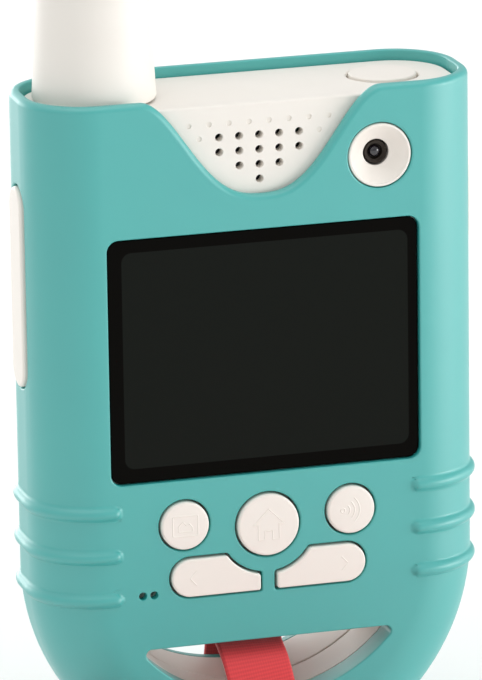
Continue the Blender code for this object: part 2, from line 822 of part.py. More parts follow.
def make_front_buttons():
    depth = CAVITY_FRONT - FRONT
    rounds = {
        "home_button": (HOME_RADIUS, 0, HOME_Z),
        "picture_button": (SMALL_RADIUS, -SMALL_X, SMALL_Z),
        "voice_button": (SMALL_RADIUS, SMALL_X, SMALL_Z),
    }
    for name, (radius, x, z) in rounds.items():
        round_button(name, radius, (x, FRONT, z), (0, -1, 0), depth, BUTTON_PROUD)
    for side, name in ((-1, "left_arrow_button"), (1, "right_arrow_button")):
        cap = slab(name, arrow_outline(side, 0), (FRONT - BUTTON_PROUD, FLANGE_BACK), "button_plastic")
        outline = arrow_outline(side, FLANGE_LIP)
        join(cap, slab(name + "_flange", outline, (FLANGE_FRONT, FLANGE_BACK)))


def make_side_key(name, side, length, height, proud, back):
    half = SIDE_KEY_WIDTH / 2
    outer = HALF_WIDTH + proud
    key = side_slab(
        name, side, half, length / 2, half - 1e-5, (back, outer), (0, height), "button_plastic"
    )
    flange = side_slab(
        name + "_flange",
        side,
        half + FLANGE_LIP,
        length / 2 + FLANGE_LIP,
        half,
        (back, back + FLANGE_THICKNESS),
        (0, height),
    )
    join(key, flange)
    return key


def make_keys():
    make_front_buttons()
    make_side_key("talk_key", 1, TALK_LENGTH, TALK_Z, TALK_PROUD, KEY_BACK)
    rocker = make_side_key(
        "volume_rocker", -1, VOLUME_LENGTH, VOLUME_Z, VOLUME_PROUD, ROCKER_BACK
    )
    pivot = Vector((ROCKER_BACK + FLANGE_THICKNESS, 0, VOLUME_Z))
    rocker.data.transform(Matrix.Translation(-pivot))
    rocker.location = pivot
    place = (POWER_X, POWER_Y, HOUSING_TOP)
    round_button("power_button", POWER_RADIUS, place, (0, 0, 1), HOUSING_WALL, POWER_PROUD)


# Electronics


def switch(name, place, axis):
    """A tactile switch: a square body with a round plunger, its base at place."""
    axis = Vector(axis)
    turn = axis.to_track_quat("Z", "Y")
    bm = bmesh.new()
    size = Vector((SWITCH_SIZE, SWITCH_SIZE, SWITCH_BODY))
    bmesh.ops.create_cube(
        bm, size=1, matrix=Matrix.LocRotScale(axis * SWITCH_BODY / 2, turn, size)
    )
    mesh = mesh_from(bm, name)
    mesh.transform(Matrix.Translation(place))
    body = add_object(name, mesh, "steel")
    base = Vector(place) + axis * SWITCH_BODY / 2
    tip = Vector(place) + axis * SWITCH_HEIGHT
    join(body, rod(name + "_plunger", SWITCH_SIZE / 4, base, tip, segments=12))


def make_switches():
    on_board = BOARD_FRONT - FIT_GAP
    arrow_x = (ARROW_START + ARROW_END_X) / 2 + 0.0014
    fronts = {
        "home_switch": (0, HOME_Z),
        "picture_switch": (-SMALL_X, SMALL_Z),
        "voice_switch": (SMALL_X, SMALL_Z),
        "left_arrow_switch": (-arrow_x, ARROW_END_Z),
        "right_arrow_switch": (arrow_x, ARROW_END_Z),
    }
    for name, (x, z) in fronts.items():
        switch(name, (x, on_board, z), (0, -1, 0))
    y = BOARD_BACK + FIT_GAP + SWITCH_SIZE / 2
    talk_x = KEY_BACK - KEY_ROOM - SWITCH_HEIGHT
    switch("talk_switch", (-talk_x, y, TALK_Z), (-1, 0, 0))
    volume_x = ROCKER_BACK - KEY_ROOM - SWITCH_HEIGHT
    switch("volume_up_switch", (volume_x, y, VOLUME_Z + VOLUME_SWITCH_OFFSET), (1, 0, 0))
    switch("volume_down_switch", (volume_x, y, VOLUME_Z - VOLUME_SWITCH_OFFSET), (1, 0, 0))
    base = CAVITY_TOP - FIT_GAP - FLANGE_THICKNESS - KEY_ROOM - SWITCH_HEIGHT
    switch("power_switch", (POWER_X, POWER_Y, base), (0, 0, 1))
    block(
        "power_board",
        (POWER_X - 0.0040, POWER_X + 0.0040),
        (POWER_Y - 0.0030, POWER_Y + 0.0030),
        (base - FIT_GAP - 0.0008, base - FIT_GAP),
        "board",
    )


def make_board():
    half = BOARD_HALF_WIDTH
    board = block(
        "main_board",
        (-half, half),
        (BOARD_FRONT, BOARD_BACK),
        (BOARD_BOTTOM, BOARD_TOP),
        "board",
    )
    for x, z in screw_places():
        start = (x, BOARD_FRONT - 0.001, z)
        end = (x, BOARD_BACK + 0.001, z)
        cut(board, rod("board_hole", BOSS_RADIUS + FIT_GAP, start, end, segments=16))


def make_on_board():
    y = BOARD_BACK + FIT_GAP
    block("radio_shield", (-0.0140, 0.0030), (y, y + 0.0018), (0.0520, 0.0680), "steel")
    block("processor", (0.0060, 0.0160), (y, y + 0.0011), (0.0380, 0.0480), "chip")
    block("memory_chip", (-0.0090, -0.0010), (y, y + 0.0010), (0.0380, 0.0460), "chip")


def make_battery():
    half_x = BATTERY_SIZE[0] / 2
    half_z = BATTERY_SIZE[2] / 2
    corner = BATTERY_SIZE[1] / 2 - 1e-5
    outline = rounded_box(half_x, half_z, corner, (0, BATTERY_Z))
    back = CAVITY_BACK - FIT_GAP
    slab("battery_pack", outline, (back - BATTERY_SIZE[1], back), "battery_film")


def make_port():
    """The charging socket: a metal shell around a tongue, its mouth inside the housing wall."""
    outer = CAVITY_HALF_WIDTH + HOUSING_WALL * 0.5
    inner = outer - PORT_LENGTH
    half_height = PORT_HEIGHT / 2
    place = (port_y(), PORT_Z)
    shell = side_slab(
        "charging_socket",
        -1,
        half_height,
        PORT_WIDTH / 2,
        half_height - 1e-5,
        (inner, outer),
        place,
        "steel",
    )
    room = half_height - PORT_WALL
    hollow = side_slab(
        "socket_hollow",
        -1,
        room,
        PORT_WIDTH / 2 - PORT_WALL,
        room - 1e-5,
        (inner + 0.001, outer + 0.001),
        place,
    )
    cut(shell, hollow)
    tongue = block(
        "socket_tongue",
        (inner + 0.0005, outer - 0.001),
        (port_y() - 0.0003, port_y() + 0.0003),
        (PORT_Z - PORT_WIDTH / 2 + 0.0013, PORT_Z + PORT_WIDTH / 2 - 0.0013),
    )
    join(shell, tongue)


# Antenna


def make_antenna():
    base = HOUSING_TOP + FIT_GAP
    dome = ANTENNA_TIP_RADIUS
    dome_rise = dome * 0.55
    shoulder = ANTENNA_HEIGHT - dome_rise
    outer = [
        (dome * math.sin(a), shoulder + dome_rise * math.cos(a))
        for a in (math.radians(15 * i) for i in range(7))
    ]
    wall = ANTENNA_WALL
    inner = [
        ((dome - wall) * math.sin(a), shoulder + (dome_rise - wall) * math.cos(a))
        for a in (math.radians(15 * i) for i in range(6, -1, -1))
    ]
    profile = [*outer, (ANTENNA_RADIUS, 0), (ANTENNA_RADIUS - wall, 0), *inner]
    profile[0] = (0, profile[0][1])
    profile[-1] = (0, profile[-1][1])
    turned("antenna_cover", profile, (ANTENNA_X, 0, base), (0, 0, 1), "white_plastic", steps=40)
    flange = ANTENNA_RADIUS - wall - FIT_GAP
    post_top = ANTENNA_HEIGHT - 0.0090
    post = [
        (0, post_top),
        (POST_RADIUS, post_top),
        (POST_RADIUS, 0.0020),
        (flange, 0.0020),
        (flange, 0),
        (STUB_RADIUS, 0),
        (STUB_RADIUS, -STUB_LENGTH),
        (0, -STUB_LENGTH),
    ]
    turned("antenna_base", post, (ANTENNA_X, 0, base), (0, 0, 1), "black_plastic", steps=24)
    make_coil(base + 0.0032, base + post_top - 0.001)


def make_coil(bottom, top):
    per_turn = 12
    points = []
    for i in range(COIL_TURNS * per_turn + 1):
        angle = math.tau * i / per_turn
        points.append(
            (
                ANTENNA_X + COIL_RADIUS * math.cos(angle),
                COIL_RADIUS * math.sin(angle),
                bottom + (top - bottom) * i / (COIL_TURNS * per_turn),
            )
        )
    wire = curve_object(points, "3D", False)
    wire.data.bevel_depth = COIL_WIRE
    wire.data.bevel_resolution = 1
    wire.data.use_fill_caps = True
    bpy.context.view_layer.update()
    add_object("antenna_coil", mesh_of_curve(wire, "antenna_coil"), "copper")


# Wrist strap: (place, direction of the ribbon's width) along its route, in millimetres

STRAP_ROUTE = [
    ((12.4, -64.0, 5.3), (0, 0, 1)),
    ((18.0, -61.0, 5.3), (0, 0, 1)),
    ((22.5, -53.5, 5.3), (0, 0, 1)),
    ((22.0, -44.0, 5.2), (0, -0.1, 1)),
    ((16.5, -35.5, 4.6), (-0.2, -0.5, 0.85)),
    ((8.5, -28.5, 2.6), (-0.7, -0.8, 0.4)),
    ((2.4, -21.5, 1.3), (-1, -0.35, 0)),
    ((-0.2, -15.5, 3.4), (-1, 0, 0)),
    ((-0.7, -13.0, 8.2), (-1, 0, 0)),
    ((-1.4, -12.3, 13.2), (-1, 0, 0.05)),
    ((-1.9, -10.6, 16.9), (-1, 0, 0)),
    ((-1.9, -7.2, 18.6), (-1, 0, 0)),
    ((-0.9, -2.0, 18.8), (-1, 0, 0)),
    ((0.3, 3.0, 18.8), (-1, 0, 0)),
    ((1.2, 8.0, 18.2), (-1, 0, 0)),
    ((1.8, 11.4, 15.6), (-1, 0, 0)),
    ((1.9, 12.4, 11.5), (-1, 0, 0)),
    ((1.4, 13.4, 7.0), (-1, 0, 0)),
    ((-0.8, 15.6, 3.6), (-0.95, -0.3, 0.25)),
    ((-6.0, 17.8, 3.4), (-0.6, -0.7, 0.7)),
    ((-12.5, 18.2, 4.8), (0, -0.3, 1)),
    ((-19.0, 16.0, 5.1), (0, 0, 1)),
    ((-24.0, 10.8, 5.1), (0, 0, 1)),
    ((-26.6, 3.0, 5.1), (0, 0, 1)),
    ((-27.3, -8.0, 5.1), (0, 0, 1)),
    ((-27.6, -20.0, 5.2), (0, 0, 1)),
    ((-27.4, -33.0, 5.3), (0, 0, 1)),
    ((-24.5, -46.0, 5.3), (0, 0, 1)),
    ((-18.0, -56.5, 5.3), (0, 0, 1)),
    ((-9.0, -62.8, 5.3), (0, 0, 1)),
    ((-0.4, -64.0, 5.3), (0, 0, 1)),
]


def smooth(points, share):
    """The point at a share of the way along a Catmull-Rom curve through the points."""
    spans = len(points) - 1
    span = min(int(share * spans), spans - 1)
    t = share * spans - span
    before = points[max(span - 1, 0)]
    start, end = points[span], points[span + 1]
    after = points[min(span + 2, spans)]
    slope_in = (end - before) / 2
    slope_out = (after - start) / 2
    return (
        start * (2 * t**3 - 3 * t**2 + 1)
        + slope_in * (t**3 - 2 * t**2 + t)
        + end * (3 * t**2 - 2 * t**3)
        + slope_out * (t**3 - t**2)
    )


def make_strap():
    """A flat ribbon lofted along its route, with a section at each step."""
    places = [Vector(place) / 1000 for place, _ in STRAP_ROUTE]
    widths = [Vector(width) for _, width in STRAP_ROUTE]
    bm = bmesh.new()
    rings = []
    for i in range(STRAP_STEPS + 1):
        share = i / STRAP_STEPS
        ahead = smooth(places, min(share + 0.001, 1))
        along = (ahead - smooth(places, max(share - 0.001, 0))).normalized()
        across = smooth(widths, share)
        across = (across - along * across.dot(along)).normalized()
        out = along.cross(across)
        middle = smooth(places, share)
        corners = ((1, 1), (-1, 1), (-1, -1), (1, -1))
        ring = [
            middle + across * (side * STRAP_WIDTH / 2) + out * (face * STRAP_THICKNESS / 2)
            for side, face in corners
        ]
        rings.append([bm.verts.new(corner) for corner in ring])
    for first, second in zip(rings, rings[1:]):
        for i in range(4):
            j = (i + 1) % 4
            bm.faces.new((first[i], first[j], second[j], second[i]))
    bm.faces.new(reversed(rings[0]))
    bm.faces.new(rings[-1])
    add_object("wrist_strap", mesh_from(bm, "wrist_strap"), "red_ribbon")
    middle = (places[0] + places[-1]) / 2
    half = [size / 2 for size in KEEPER_SIZE]
    block(
        "strap_keeper",
        (middle.x - half[0], middle.x + half[0]),
        (middle.y - half[1], middle.y + half[1]),
        (middle.z - half[2], middle.z + half[2]),
        "red_ribbon",
    )


make_sleeve()
make_front_housing()
make_rear_housing()
make_screws()
make_screen()
make_camera()
make_speaker()
make_microphone()
make_keys()
make_board()
make_switches()
make_on_board()
make_battery()
make_port()
make_antenna()
make_strap()
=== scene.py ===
"""Toy walkie talkie: its visible pieces, finishes, light and camera, built over the fixed CAD frame."""

import math

import bmesh
import bpy
from bpy.props import FloatProperty, IntProperty, PointerProperty, StringProperty
from mathutils import Matrix, Vector


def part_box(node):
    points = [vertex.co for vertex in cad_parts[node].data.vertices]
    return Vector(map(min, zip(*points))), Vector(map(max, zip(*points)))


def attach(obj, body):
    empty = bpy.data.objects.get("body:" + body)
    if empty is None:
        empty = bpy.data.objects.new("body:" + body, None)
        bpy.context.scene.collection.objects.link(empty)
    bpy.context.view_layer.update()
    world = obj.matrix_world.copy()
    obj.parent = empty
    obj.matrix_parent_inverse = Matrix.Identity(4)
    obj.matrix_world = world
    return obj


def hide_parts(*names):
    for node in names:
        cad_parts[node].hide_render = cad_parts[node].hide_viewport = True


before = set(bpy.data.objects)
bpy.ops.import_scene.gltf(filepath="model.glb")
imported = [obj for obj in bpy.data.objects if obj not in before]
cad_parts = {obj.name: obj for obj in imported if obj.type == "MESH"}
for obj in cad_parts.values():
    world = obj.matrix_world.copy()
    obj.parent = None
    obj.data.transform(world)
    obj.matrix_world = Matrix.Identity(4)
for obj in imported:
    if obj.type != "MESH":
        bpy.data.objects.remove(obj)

bl_info = {
    "name": "Toy Walkie Talkie",
    "version": (1, 0, 0),
    "blender": (4, 5, 0),
    "location": "3D View > Sidebar > Walkie Talkie",
    "description": "Builds the visible pieces of a toy walkie talkie in a silicone sleeve",
    "category": "Object",
}

MM = 0.001
FAR = 0.06  # longer than any cut is deep

# Where the CAD pieces are
SLEEVE_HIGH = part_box("silicone_sleeve")[1]
GLASS_LOW, GLASS_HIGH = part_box("screen_glass")
DISH_LOW, DISH_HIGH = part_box("camera_dish")
BARREL_LOW, BARREL_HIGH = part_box("camera_barrel")
LENS_LOW, LENS_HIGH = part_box("camera_lens")
KEEPER_LOW, KEEPER_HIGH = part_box("strap_keeper")

# The body: a flat middle part, and round long edges of one radius about it
FRONT, BACK = -0.0110, 0.0110
FLAT_BAND = 0.0017
SIDE_RADIUS = 0.0093
CORE_HALF_WIDTH = 0.0225
ROUND_CENTRE = 0.0299
SLEEVE_RADIUS_INSIDE = 0.0079
SLEEVE_FLOOR = 0.0016
RIM = SLEEVE_HIGH.z
HOUSING_RADIUS = 0.0076
HOUSING_FRONT = -0.0093
HOUSING_FLOOR = 0.0019
HOUSING_TOP = 0.0959
CAVITY_RADIUS = 0.0058
CAVITY_FRONT = -0.0075
CAVITY_HALF_WIDTH = 0.0283
CAVITY_FLOOR = 0.0230
CAVITY_TOP = 0.0942
FIT_GAP = 0.0003

RIB_HEIGHTS = (0.0402, 0.0340, 0.0278)
SCREEN_Z = 0.0613
CAMERA_X, CAMERA_Z = 0.01665, 0.0875
GRILLE_TOP = 0.0914
GRILLE_ROWS = (5, 5, 3, 1)
HOME = (0.0, 0.0366)
PICTURE = (-0.0119, 0.0376)
VOICE = (0.0119, 0.0376)
MIC_X, MIC_Z = -0.0172, 0.0280
TALK_Z, TALK_LENGTH = 0.0705, 0.0282
VOLUME_Z, VOLUME_LENGTH = 0.0783, 0.0130
SIDE_KEY_WIDTH = 0.0056
PORT = (-0.0012, 0.0520)  # middle of the charging socket in Y and Z
POWER = (0.0208, 0.0010)
ANTENNA_X = -0.0206
SCREWS = [(-0.0236, 0.0330), (0.0236, 0.0330), (-0.0097, 0.0885), (0.0097, 0.0885)]

# The strap's route, in millimetres: a place and the direction of the ribbon's width there
STRAP_ROUTE = [
    ((12.4, -64.0, 5.3), (0, 0, 1)),
    ((18.0, -61.0, 5.3), (0, 0, 1)),
    ((22.5, -53.5, 5.3), (0, 0, 1)),
    ((22.0, -44.0, 5.2), (0, -0.1, 1)),
    ((16.5, -35.5, 4.6), (-0.2, -0.5, 0.85)),
    ((8.5, -28.5, 2.6), (-0.7, -0.8, 0.4)),
    ((2.4, -21.5, 1.3), (-1, -0.35, 0)),
    ((-0.2, -15.5, 3.4), (-1, 0, 0)),
    ((-0.7, -13.0, 8.2), (-1, 0, 0)),
    ((-1.4, -12.3, 13.2), (-1, 0, 0.05)),
    ((-1.9, -10.6, 16.9), (-1, 0, 0)),
    ((-1.9, -7.2, 18.6), (-1, 0, 0)),
    ((-0.9, -2.0, 18.8), (-1, 0, 0)),
    ((0.3, 3.0, 18.8), (-1, 0, 0)),
    ((1.2, 8.0, 18.2), (-1, 0, 0)),
    ((1.8, 11.4, 15.6), (-1, 0, 0)),
    ((1.9, 12.4, 11.5), (-1, 0, 0)),
    ((1.4, 13.4, 7.0), (-1, 0, 0)),
    ((-0.8, 15.6, 3.6), (-0.95, -0.3, 0.25)),
    ((-6.0, 17.8, 3.4), (-0.6, -0.7, 0.7)),
    ((-12.5, 18.2, 4.8), (0, -0.3, 1)),
    ((-19.0, 16.0, 5.1), (0, 0, 1)),
    ((-24.0, 10.8, 5.1), (0, 0, 1)),
    ((-26.6, 3.0, 5.1), (0, 0, 1)),
    ((-27.3, -8.0, 5.1), (0, 0, 1)),
    ((-27.6, -20.0, 5.2), (0, 0, 1)),
    ((-27.4, -33.0, 5.3), (0, 0, 1)),
    ((-24.5, -46.0, 5.3), (0, 0, 1)),
    ((-18.0, -56.5, 5.3), (0, 0, 1)),
    ((-9.0, -62.8, 5.3), (0, 0, 1)),
    ((-0.4, -64.0, 5.3), (0, 0, 1)),
]


# Sizes and colours that a user would change


def length(name, description, default):
    return FloatProperty(
        name=name, description=description, default=default, unit="LENGTH", precision=5
    )


def colour(name, description, default):
    return StringProperty(name=name, description=description, default=default)


class SleeveSizes(bpy.types.PropertyGroup):
    lip: length("Rim lip", "Rounding of the rim's outer edge", 0.0009)
    edge: length("Edges", "Rounding of the sleeve's other edges", 0.00025)
    rib_height: length("Rib height", "How far a rib stands out", 0.00072)
    rib_half_width: length("Rib half width", "From a rib's crest to its foot", 0.00096)
    rib_start: length("Rib start", "From the middle plane to a rib's end", 0.0218)
    notch_half_width: length("Notch half width", "Half of the notch at the rim", 0.01705)
    notch_bottom: length("Notch bottom", "Height of the notch's lowest point", 0.0834)


class HousingSizes(bpy.types.PropertyGroup):
    edge: length("Edges", "Rounding of the housing's outer edges", 0.00035)
    hole_pitch: length("Hole pitch", "Between neighbouring speaker holes", 0.00283)
    row_pitch: length("Row pitch", "Between rows of speaker holes", 0.00206)
    hole_radius: length("Hole radius", "Radius of a speaker hole", 0.00055)
    dimple_radius: length("Dimple radius", "Radius of a blind dimple", 0.00036)
    dimple_depth: length("Dimple depth", "Depth of a blind dimple", 0.00018)


class KeySizes(bpy.types.PropertyGroup):
    proud: length("Proud", "How far the front keys stand out", 0.0004)
    rounding: length("Rounding", "Rounding of a key's edge", 0.00035)
    home_radius: length("Home radius", "Radius of the home key", 0.0044)
    small_radius: length("Small radius", "Radius of the two small round keys", 0.0034)
    icon_line: length("Icon line", "Half the width of an icon's raised line", 0.00013)


class StrapSizes(bpy.types.PropertyGroup):
    width: length("Width", "Width of the ribbon", 0.0094)
    thickness: length("Thickness", "Thickness of the ribbon", 0.0010)
    steps: IntProperty(name="Steps", description="Sections along the ribbon", default=420)
    stitch_pitch: length("Stitch pitch", "Between stitches on the keeper", 0.0012)


class Colours(bpy.types.PropertyGroup):
    teal: colour("Teal", "Silicone sleeve", "#16ABA5")
    white: colour("White", "Housing and antenna", "#F4EFE8")
    key: colour("Key", "Keys and dish", "#F5EFE7")
    glass: colour("Glass", "Printed border of the screen", "#070604")
    display: colour("Display", "Display that is switched off", "#191B18")
    ribbon: colour("Ribbon", "Wrist strap", "#E2474A")
    barrel: colour("Barrel", "Lens barrel", "#3A3128")
    floor: colour("Floor", "Floor of the stage", "#FDFDFC")


GROUPS = {
    "talkie_sleeve": SleeveSizes,
    "talkie_housing": HousingSizes,
    "talkie_keys": KeySizes,
    "talkie_strap": StrapSizes,
    "talkie_colours": Colours,
}


# Materials


def linear(hex_colour):
    """A linear colour with alpha from an sRGB hex value."""
    channels = [int(hex_colour[i : i + 2], 16) / 255 for i in (1, 3, 5)]
    rgb = [c / 12.92 if c <= 0.04045 else ((c + 0.055) / 1.055) ** 2.4 for c in channels]
    return (*rgb, 1.0)


def add_node(tree, kind, settings=None, inputs=None):
    """Adds a node. An input is linked when its value is a socket, and set otherwise."""
    node = tree.nodes.new(kind)
    for key, value in (settings or {}).items():
        setattr(node, key, value)
    for key, value in (inputs or {}).items():
        if isinstance(value, bpy.types.NodeSocket):
            tree.links.new(value, node.inputs[key])
        else:
            node.inputs[key].default_value = value
    return node


def new_material(name, inputs):
    """A material with a Principled shader, and its tree, shader and object coordinates."""
    made = bpy.data.materials.new(name)
    made.use_nodes = True
    tree = made.node_tree
    shader = tree.nodes["Principled BSDF"]
    for key, value in inputs.items():
        shader.inputs[key].default_value = value
    made.diffuse_color = shader.inputs["Base Color"].default_value
    place = add_node(tree, "ShaderNodeTexCoord")
    return made, tree, shader, place.outputs


def mottled(tree, place, base, shade, size, detail=2.0):
    """Two colours mixed by soft noise whose patches are about the given size in metres."""
    noise = add_node(
        tree,
        "ShaderNodeTexNoise",
        inputs={"Vector": place, "Scale": 1 / size, "Detail": detail, "Roughness": 0.55},
    )
    mix = add_node(
        tree,
        "ShaderNodeMix",
        {"data_type": "RGBA"},
        {0: noise.outputs["Fac"], 6: linear(base), 7: linear(shade)},
    )
    return mix.outputs[2]


def grain(tree, shader, place, size, depth, strength, low, high):
    """Fine moulded grain: bump of the given size and depth, and roughness between two values."""
    noise = add_node(
        tree,
        "ShaderNodeTexNoise",
        inputs={"Vector": place, "Scale": 1 / size, "Detail": 3.0, "Roughness": 0.6},
    )
    bump = add_node(
        tree,
        "ShaderNodeBump",
        inputs={"Height": noise.outputs["Fac"], "Distance": depth, "Strength": strength},
    )
    tree.links.new(bump.outputs["Normal"], shader.inputs["Normal"])
    spread = add_node(
        tree,
        "ShaderNodeMapRange",
        inputs={"Value": noise.outputs["Fac"], "To Min": low, "To Max": high},
    )
    tree.links.new(spread.outputs["Result"], shader.inputs["Roughness"])
    return noise


def plastic(name, base, shade, low, high, specular=0.5):
    """A moulded plastic with soft mottling and a fine spark-eroded grain of 0.12 mm."""
    made, tree, shader, place = new_material(
        name, {"Base Color": linear(base), "Specular IOR Level": specular, "IOR": 1.53}
    )
    tree.links.new(
        mottled(tree, place["Object"], base, shade, 0.006), shader.inputs["Base Color"]
    )
    grain(tree, shader, place["Object"], 0.00012, 0.00001, 0.25, low, high)
    return made


def make_silicone(colours):
    # Silicone rubber, moulded in a fine matt tool: soft, hazy highlights and a dusty bloom.
    made, tree, shader, place = new_material(
        "Moulded silicone rubber",
        {
            "Base Color": linear(colours.teal),
            "Specular IOR Level": 0.5,
            "IOR": 1.45,
            "Coat Weight": 1.0,
            "Coat IOR": 1.95,
            "Coat Roughness": 0.5,
        },
    )
    tree.links.new(
        mottled(tree, place["Object"], colours.teal, "#12A6A2", 0.009),
        shader.inputs["Base Color"],
    )
    # The grain is 0.1 mm, and drawn at 0.2 mm so that it shows.
    grain(tree, shader, place["Object"], 0.0002, 0.000012, 0.3, 0.46, 0.56)
    return made


def make_printed_glass(colours):
    """Black printed glass: the display shows through a rounded window in the print."""
    # Cover glass with a printed black border: flat and even, with a weak, clear reflection.
    made, tree, shader, place = new_material(
        "Printed cover glass",
        {
            "Base Color": linear(colours.glass),
            "Roughness": 0.12,
            "Specular IOR Level": 0.04,
            "IOR": 1.5,
        },
    )
    half, corner = Vector((0.02032, 0, 0.01524)), 0.0014
    centred = add_node(
        tree,
        "ShaderNodeMapping",
        inputs={"Vector": place["Object"], "Location": (-0.0003, 0, -0.0614)},
    )
    positive = add_node(
        tree,
        "ShaderNodeVectorMath",
        {"operation": "ABSOLUTE"},
        {0: centred.outputs["Vector"]},
    )
    beyond = add_node(
        tree,
        "ShaderNodeVectorMath",
        {"operation": "SUBTRACT"},
        {0: positive.outputs["Vector"], 1: (half.x - corner, 1.0, half.z - corner)},
    )
    corner_part = add_node(
        tree,
        "ShaderNodeVectorMath",
        {"operation": "MAXIMUM"},
        {0: beyond.outputs["Vector"], 1: (0, 0, 0)},
    )
    away = add_node(
        tree,
        "ShaderNodeVectorMath",
        {"operation": "LENGTH"},
        {0: corner_part.outputs["Vector"]},
    )
    window = add_node(
        tree,
        "ShaderNodeMapRange",
        {"interpolation_type": "SMOOTHSTEP"},
        {
            "Value": away.outputs["Value"],
            "From Min": corner - 0.00006,
            "From Max": corner + 0.00006,
            "To Min": 1.0,
            "To Max": 0.0,
        },
    )
    lit = mottled(tree, place["Object"], colours.display, "#171A17", 0.02)
    mix = add_node(
        tree,
        "ShaderNodeMix",
        {"data_type": "RGBA"},
        {0: window.outputs["Result"], 6: linear(colours.glass), 7: lit},
    )
    tree.links.new(mix.outputs[2], shader.inputs["Base Color"])
    return made


def make_ribbon(colours):
    """Woven ribbon: ribs across the width and fine warp threads, on the piece's UV in metres."""
    # Polyester grosgrain, tightly woven: a soft sheen, and painted shade that darkens the colour between the
    # threads.
    made, tree, shader, place = new_material(
        "Woven polyester ribbon",
        {
            "Base Color": linear(colours.ribbon),
            "Roughness": 0.62,
            "Specular IOR Level": 0.35,
            "Sheen Weight": 0.3,
            "Sheen Roughness": 0.4,
        },
    )
    split = add_node(tree, "ShaderNodeSeparateXYZ", inputs={0: place["UV"]})
    waves = []
    # The weft ribs are 0.5 mm apart and the warp threads 0.35 mm.
    for axis, spacing in ((0, 0.0005), (1, 0.00035)):
        turns = add_node(
            tree,
            "ShaderNodeMath",
            {"operation": "MULTIPLY"},
            {0: split.outputs[axis], 1: math.tau / spacing},
        )
        waves.append(
            add_node(tree, "ShaderNodeMath", {"operation": "SINE"}, {0: turns.outputs[0]})
        )
    height = add_node(
        tree,
        "ShaderNodeMath",
        {"operation": "MULTIPLY_ADD"},
        {0: waves[0].outputs[0], 1: 0.3, 2: 0.5},
    )
    threads = add_node(
        tree,
        "ShaderNodeMath",
        {"operation": "MULTIPLY_ADD"},
        {0: waves[1].outputs[0], 1: 0.2, 2: height.outputs[0]},
    )
    bump = add_node(
        tree,
        "ShaderNodeBump",
        inputs={"Height": threads.outputs[0], "Distance": 0.00006, "Strength": 0.5},
    )
    tree.links.new(bump.outputs["Normal"], shader.inputs["Normal"])
    # Painted shade: the colour goes darker where the weave is low, between the threads.
    mix = add_node(
        tree,
        "ShaderNodeMix",
        {"data_type": "RGBA"},
        {0: threads.outputs[0], 6: linear("#CE3C42"), 7: linear(colours.ribbon)},
    )
    tree.links.new(mix.outputs[2], shader.inputs["Base Color"])
    return made


def make_metal(name, base, low, high, size):
    """Bare metal with drawn or rolled streaks."""
    made, tree, shader, place = new_material(
        name, {"Base Color": linear(base), "Metallic": 1.0}
    )
    stretched = add_node(
        tree,
        "ShaderNodeMapping",
        inputs={"Vector": place["Object"], "Scale": (1.0, 1.0, 0.15)},
    )
    grain(tree, shader, stretched.outputs["Vector"], size, 0.000006, 0.3, low, high)
    return made


def make_board(colours):
    """Solder mask over traces that run in two directions."""
    # Glass-fibre board under green solder mask: satin, with copper traces just showing.
    made, tree, shader, place = new_material(
        "Solder mask on glass fibre board", {"Base Color": linear("#1E5A3A"), "Roughness": 0.42}
    )
    cells = add_node(
        tree,
        "ShaderNodeTexBrick",
        inputs={
            "Vector": place["Object"],
            "Scale": 400.0,
            "Mortar Size": 0.035,
            "Color1": linear("#1C5537"),
            "Color2": linear("#206040"),
            "Mortar": linear("#3C8258"),
        },
    )
    tree.links.new(cells.outputs["Color"], shader.inputs["Base Color"])
    return made


def shared(name, make, *values):
    """The material of that name, made once."""
    key = "talkie_" + name
    found = bpy.context.scene.get(key)
    if found is None:
        found = make(*values)
        bpy.context.scene[key] = found
    return found


def silicone():
    return shared("silicone", make_silicone, bpy.context.scene.talkie_colours)


def white_abs():
    # ABS housing, moulded satin: even and slightly warm.
    colours = bpy.context.scene.talkie_colours
    return shared("white", plastic, "Moulded white ABS", colours.white, "#F1ECE4", 0.4, 0.5, 0.4)


def key_abs():
    # ABS keys, finer than the housing and a little warmer.
    colours = bpy.context.scene.talkie_colours
    return shared("key", plastic, "Satin ABS key plastic", colours.key, "#F2ECE4", 0.36, 0.46, 0.4)


# Mesh building


def arc(centre, radius, start, end, steps):
    """Points of an arc, its angles in degrees from +X towards +Z."""
    angles = [math.radians(start + (end - start) * i / steps) for i in range(steps + 1)]
    return [(centre[0] + radius * math.cos(a), centre[1] + radius * math.sin(a)) for a in angles]


def circle(centre, radius, steps=64):
    return arc(centre, radius, 0, 360, steps)[:-1]


def rounded_box(half_width, half_height, corner, centre, steps=10):
    points = []
    for quarter, (sign_x, sign_z) in enumerate(((1, 1), (-1, 1), (-1, -1), (1, -1))):
        middle = (
            centre[0] + sign_x * (half_width - corner),
            centre[1] + sign_z * (half_height - corner),
        )
        points += arc(middle, corner, 90 * quarter, 90 * quarter + 90, steps)
    return points


def grown(outline, distance):
    """The outline moved outwards by a distance along its own normals."""
    points = [Vector(p) for p in outline]
    turn = sum(a.cross(b) for a, b in zip(points, points[1:] + points[:1]))
    result = []
    for i, here in enumerate(points):
        into = here - points[i - 1]
        out = points[(i + 1) % len(points)] - here
        first = Vector((into.y, -into.x)).normalized()
        second = Vector((out.y, -out.x)).normalized()
        if turn < 0:
            first, second = -first, -second
        both = first + second
        moved = here + both * (distance / max(0.4, 1 + first.dot(second)))
        result.append((moved.x, moved.y))
    return result


